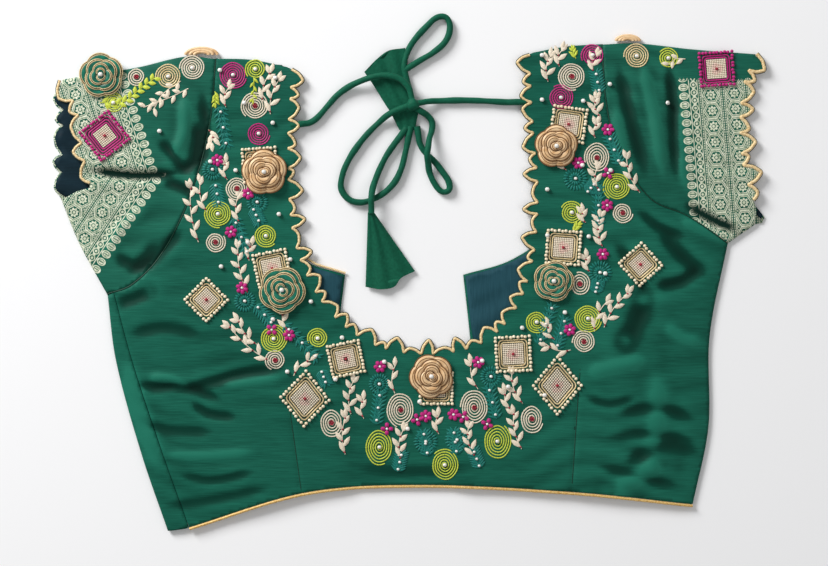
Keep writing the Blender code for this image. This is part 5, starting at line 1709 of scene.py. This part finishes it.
#   side    alongs  downs  leaves  thread  length
SLEEVE_SPRIGS = (
    ("left", (28, 46, 63, 76), (24, 27, 18, 12), 18, "lime", 6.5),
    ("left", (104, 84, 62), (27, 31, 34), 8, "cream", 7.5),
    ("left", (96, 78, 68), (20, 27, 38), 7, "cream", 7.5),
    ("right", (70, 62, 56), (9, 10, 16), 4, "cream", 7.0),
)
for side, alongs, downs, leaves, thread_name, length in SLEEVE_SPRIGS:
    line = [on_sleeve(side, along, down) for along, down in zip(alongs, downs)]
    sleeve_sprig(line, leaves, thread_name, length)
loose = np.array([on_sleeve("left", 69, 56), on_sleeve("right", 60, 47)])
LOOSE_PEARL = (1.9, 4.0, 4.0)
PEARL_ROWS = ((10, 37.0, 8), (40, 53.0, 30), (62, 71.0, 5))      # out, spacing, first
rows = []
for out, spacing, first in PEARL_ROWS:
    along = np.arange(first, neck_gone[-1], spacing)
    rows.append(in_band(along, out + 3 * np.sin(along))[0])
loose = np.vstack([loose, *rows])
stitch("pearl", copies(BEAD, loose[:, 0], loose[:, 1], 1.7, 0, *LOOSE_PEARL))
print(len(loose), "scattered pearls")

# %% [markdown]
# ## Setting the embroidery down
# Until now heights were measured from the cloth. Each colour is joined as one mesh and lifted
# by the cloth's own height, so it follows every fold. A thin dark cord marks the armholes and
# the darts.

# %% Join and lift
SEAM_STEP = 3.0
ROSE_PEARL = (2.0, 4.2, 4.2)
for edge, size in ((ARMHOLE_LEFT, 0.6), (ARMHOLE_RIGHT, 0.6), *((dart, 0.5) for dart in DARTS)):
    line = curve(edge, SEAM_STEP)
    stitch("seam", tube(np.column_stack([line, 0 * line[:, 0]]), size, 6))
for name, parts in STITCHED.items():
    if not parts:
        continue
    corners, faces = joined(parts)
    x, y = corners[:, 0], corners[:, 1]
    corners[:, 2] += back_height(x, y) + WALL / 2 - 0.15
    made = add_piece(f"embroidery_{name}", corners, faces, THREADS[name], 60)
    print(f"{name}: {len(faces):,} triangles")
hearts = np.array(rose_hearts)
centre_pearls = copies(BEAD, hearts[:, 0], hearts[:, 1], hearts[:, 2], 0, *ROSE_PEARL)
add_piece("rose_pearls", *centre_pearls, THREADS["pearl"])

# %% [markdown]
# ## Floor and light
# A pale floor, a large soft lamp from the upper left, a weaker one from the right, and an
# even white sky, as in a product studio.

# %% Floor, lamps and sky
FLOOR_HALF = 6.0                 # these are in metres, and the lamps' powers in watts
FLOOR_BELOW = 0.0004
KEY_PLACE, KEY_SIZE, KEY_POWER = (-1.6, 1.7, 1.3), 1.1, 84
FILL_PLACE, FILL_SIZE, FILL_POWER = (1.3, -0.8, 2.0), 1.6, 7
SKY_STRENGTH = 0.34
floor_mesh = bpy.data.meshes.new("floor")
floor_mesh.from_pydata([(x * FLOOR_HALF, y * FLOOR_HALF, -FLOOR_BELOW)
                        for x, y in ((-1, -1), (1, -1), (1, 1), (-1, 1))], [], [(0, 1, 2, 3)])
floor_look = Look("pale floor", 0.9)
floor_mesh.materials.append(floor_look.finish(colour(247, 247, 248)))
floor = bpy.data.objects.new("floor", floor_mesh)
bpy.context.scene.collection.objects.link(floor)


def lamp(name, place, size, power):
    data = bpy.data.lights.new(name, "AREA")
    data.size, data.energy = size, power
    made = bpy.data.objects.new(name, data)
    made.location = place
    made.rotation_euler = Vector(place).to_track_quat("Z", "Y").to_euler()
    bpy.context.scene.collection.objects.link(made)


lamp("key", KEY_PLACE, KEY_SIZE, KEY_POWER)
lamp("fill", FILL_PLACE, FILL_SIZE, FILL_POWER)
sky = bpy.data.worlds.new("sky")
sky.use_nodes = True
sky.node_tree.nodes["Background"].inputs["Color"].default_value = (1, 1, 1, 1)
sky.node_tree.nodes["Background"].inputs["Strength"].default_value = SKY_STRENGTH
bpy.context.scene.world = sky
bpy.context.scene.view_settings.view_transform = "Standard"
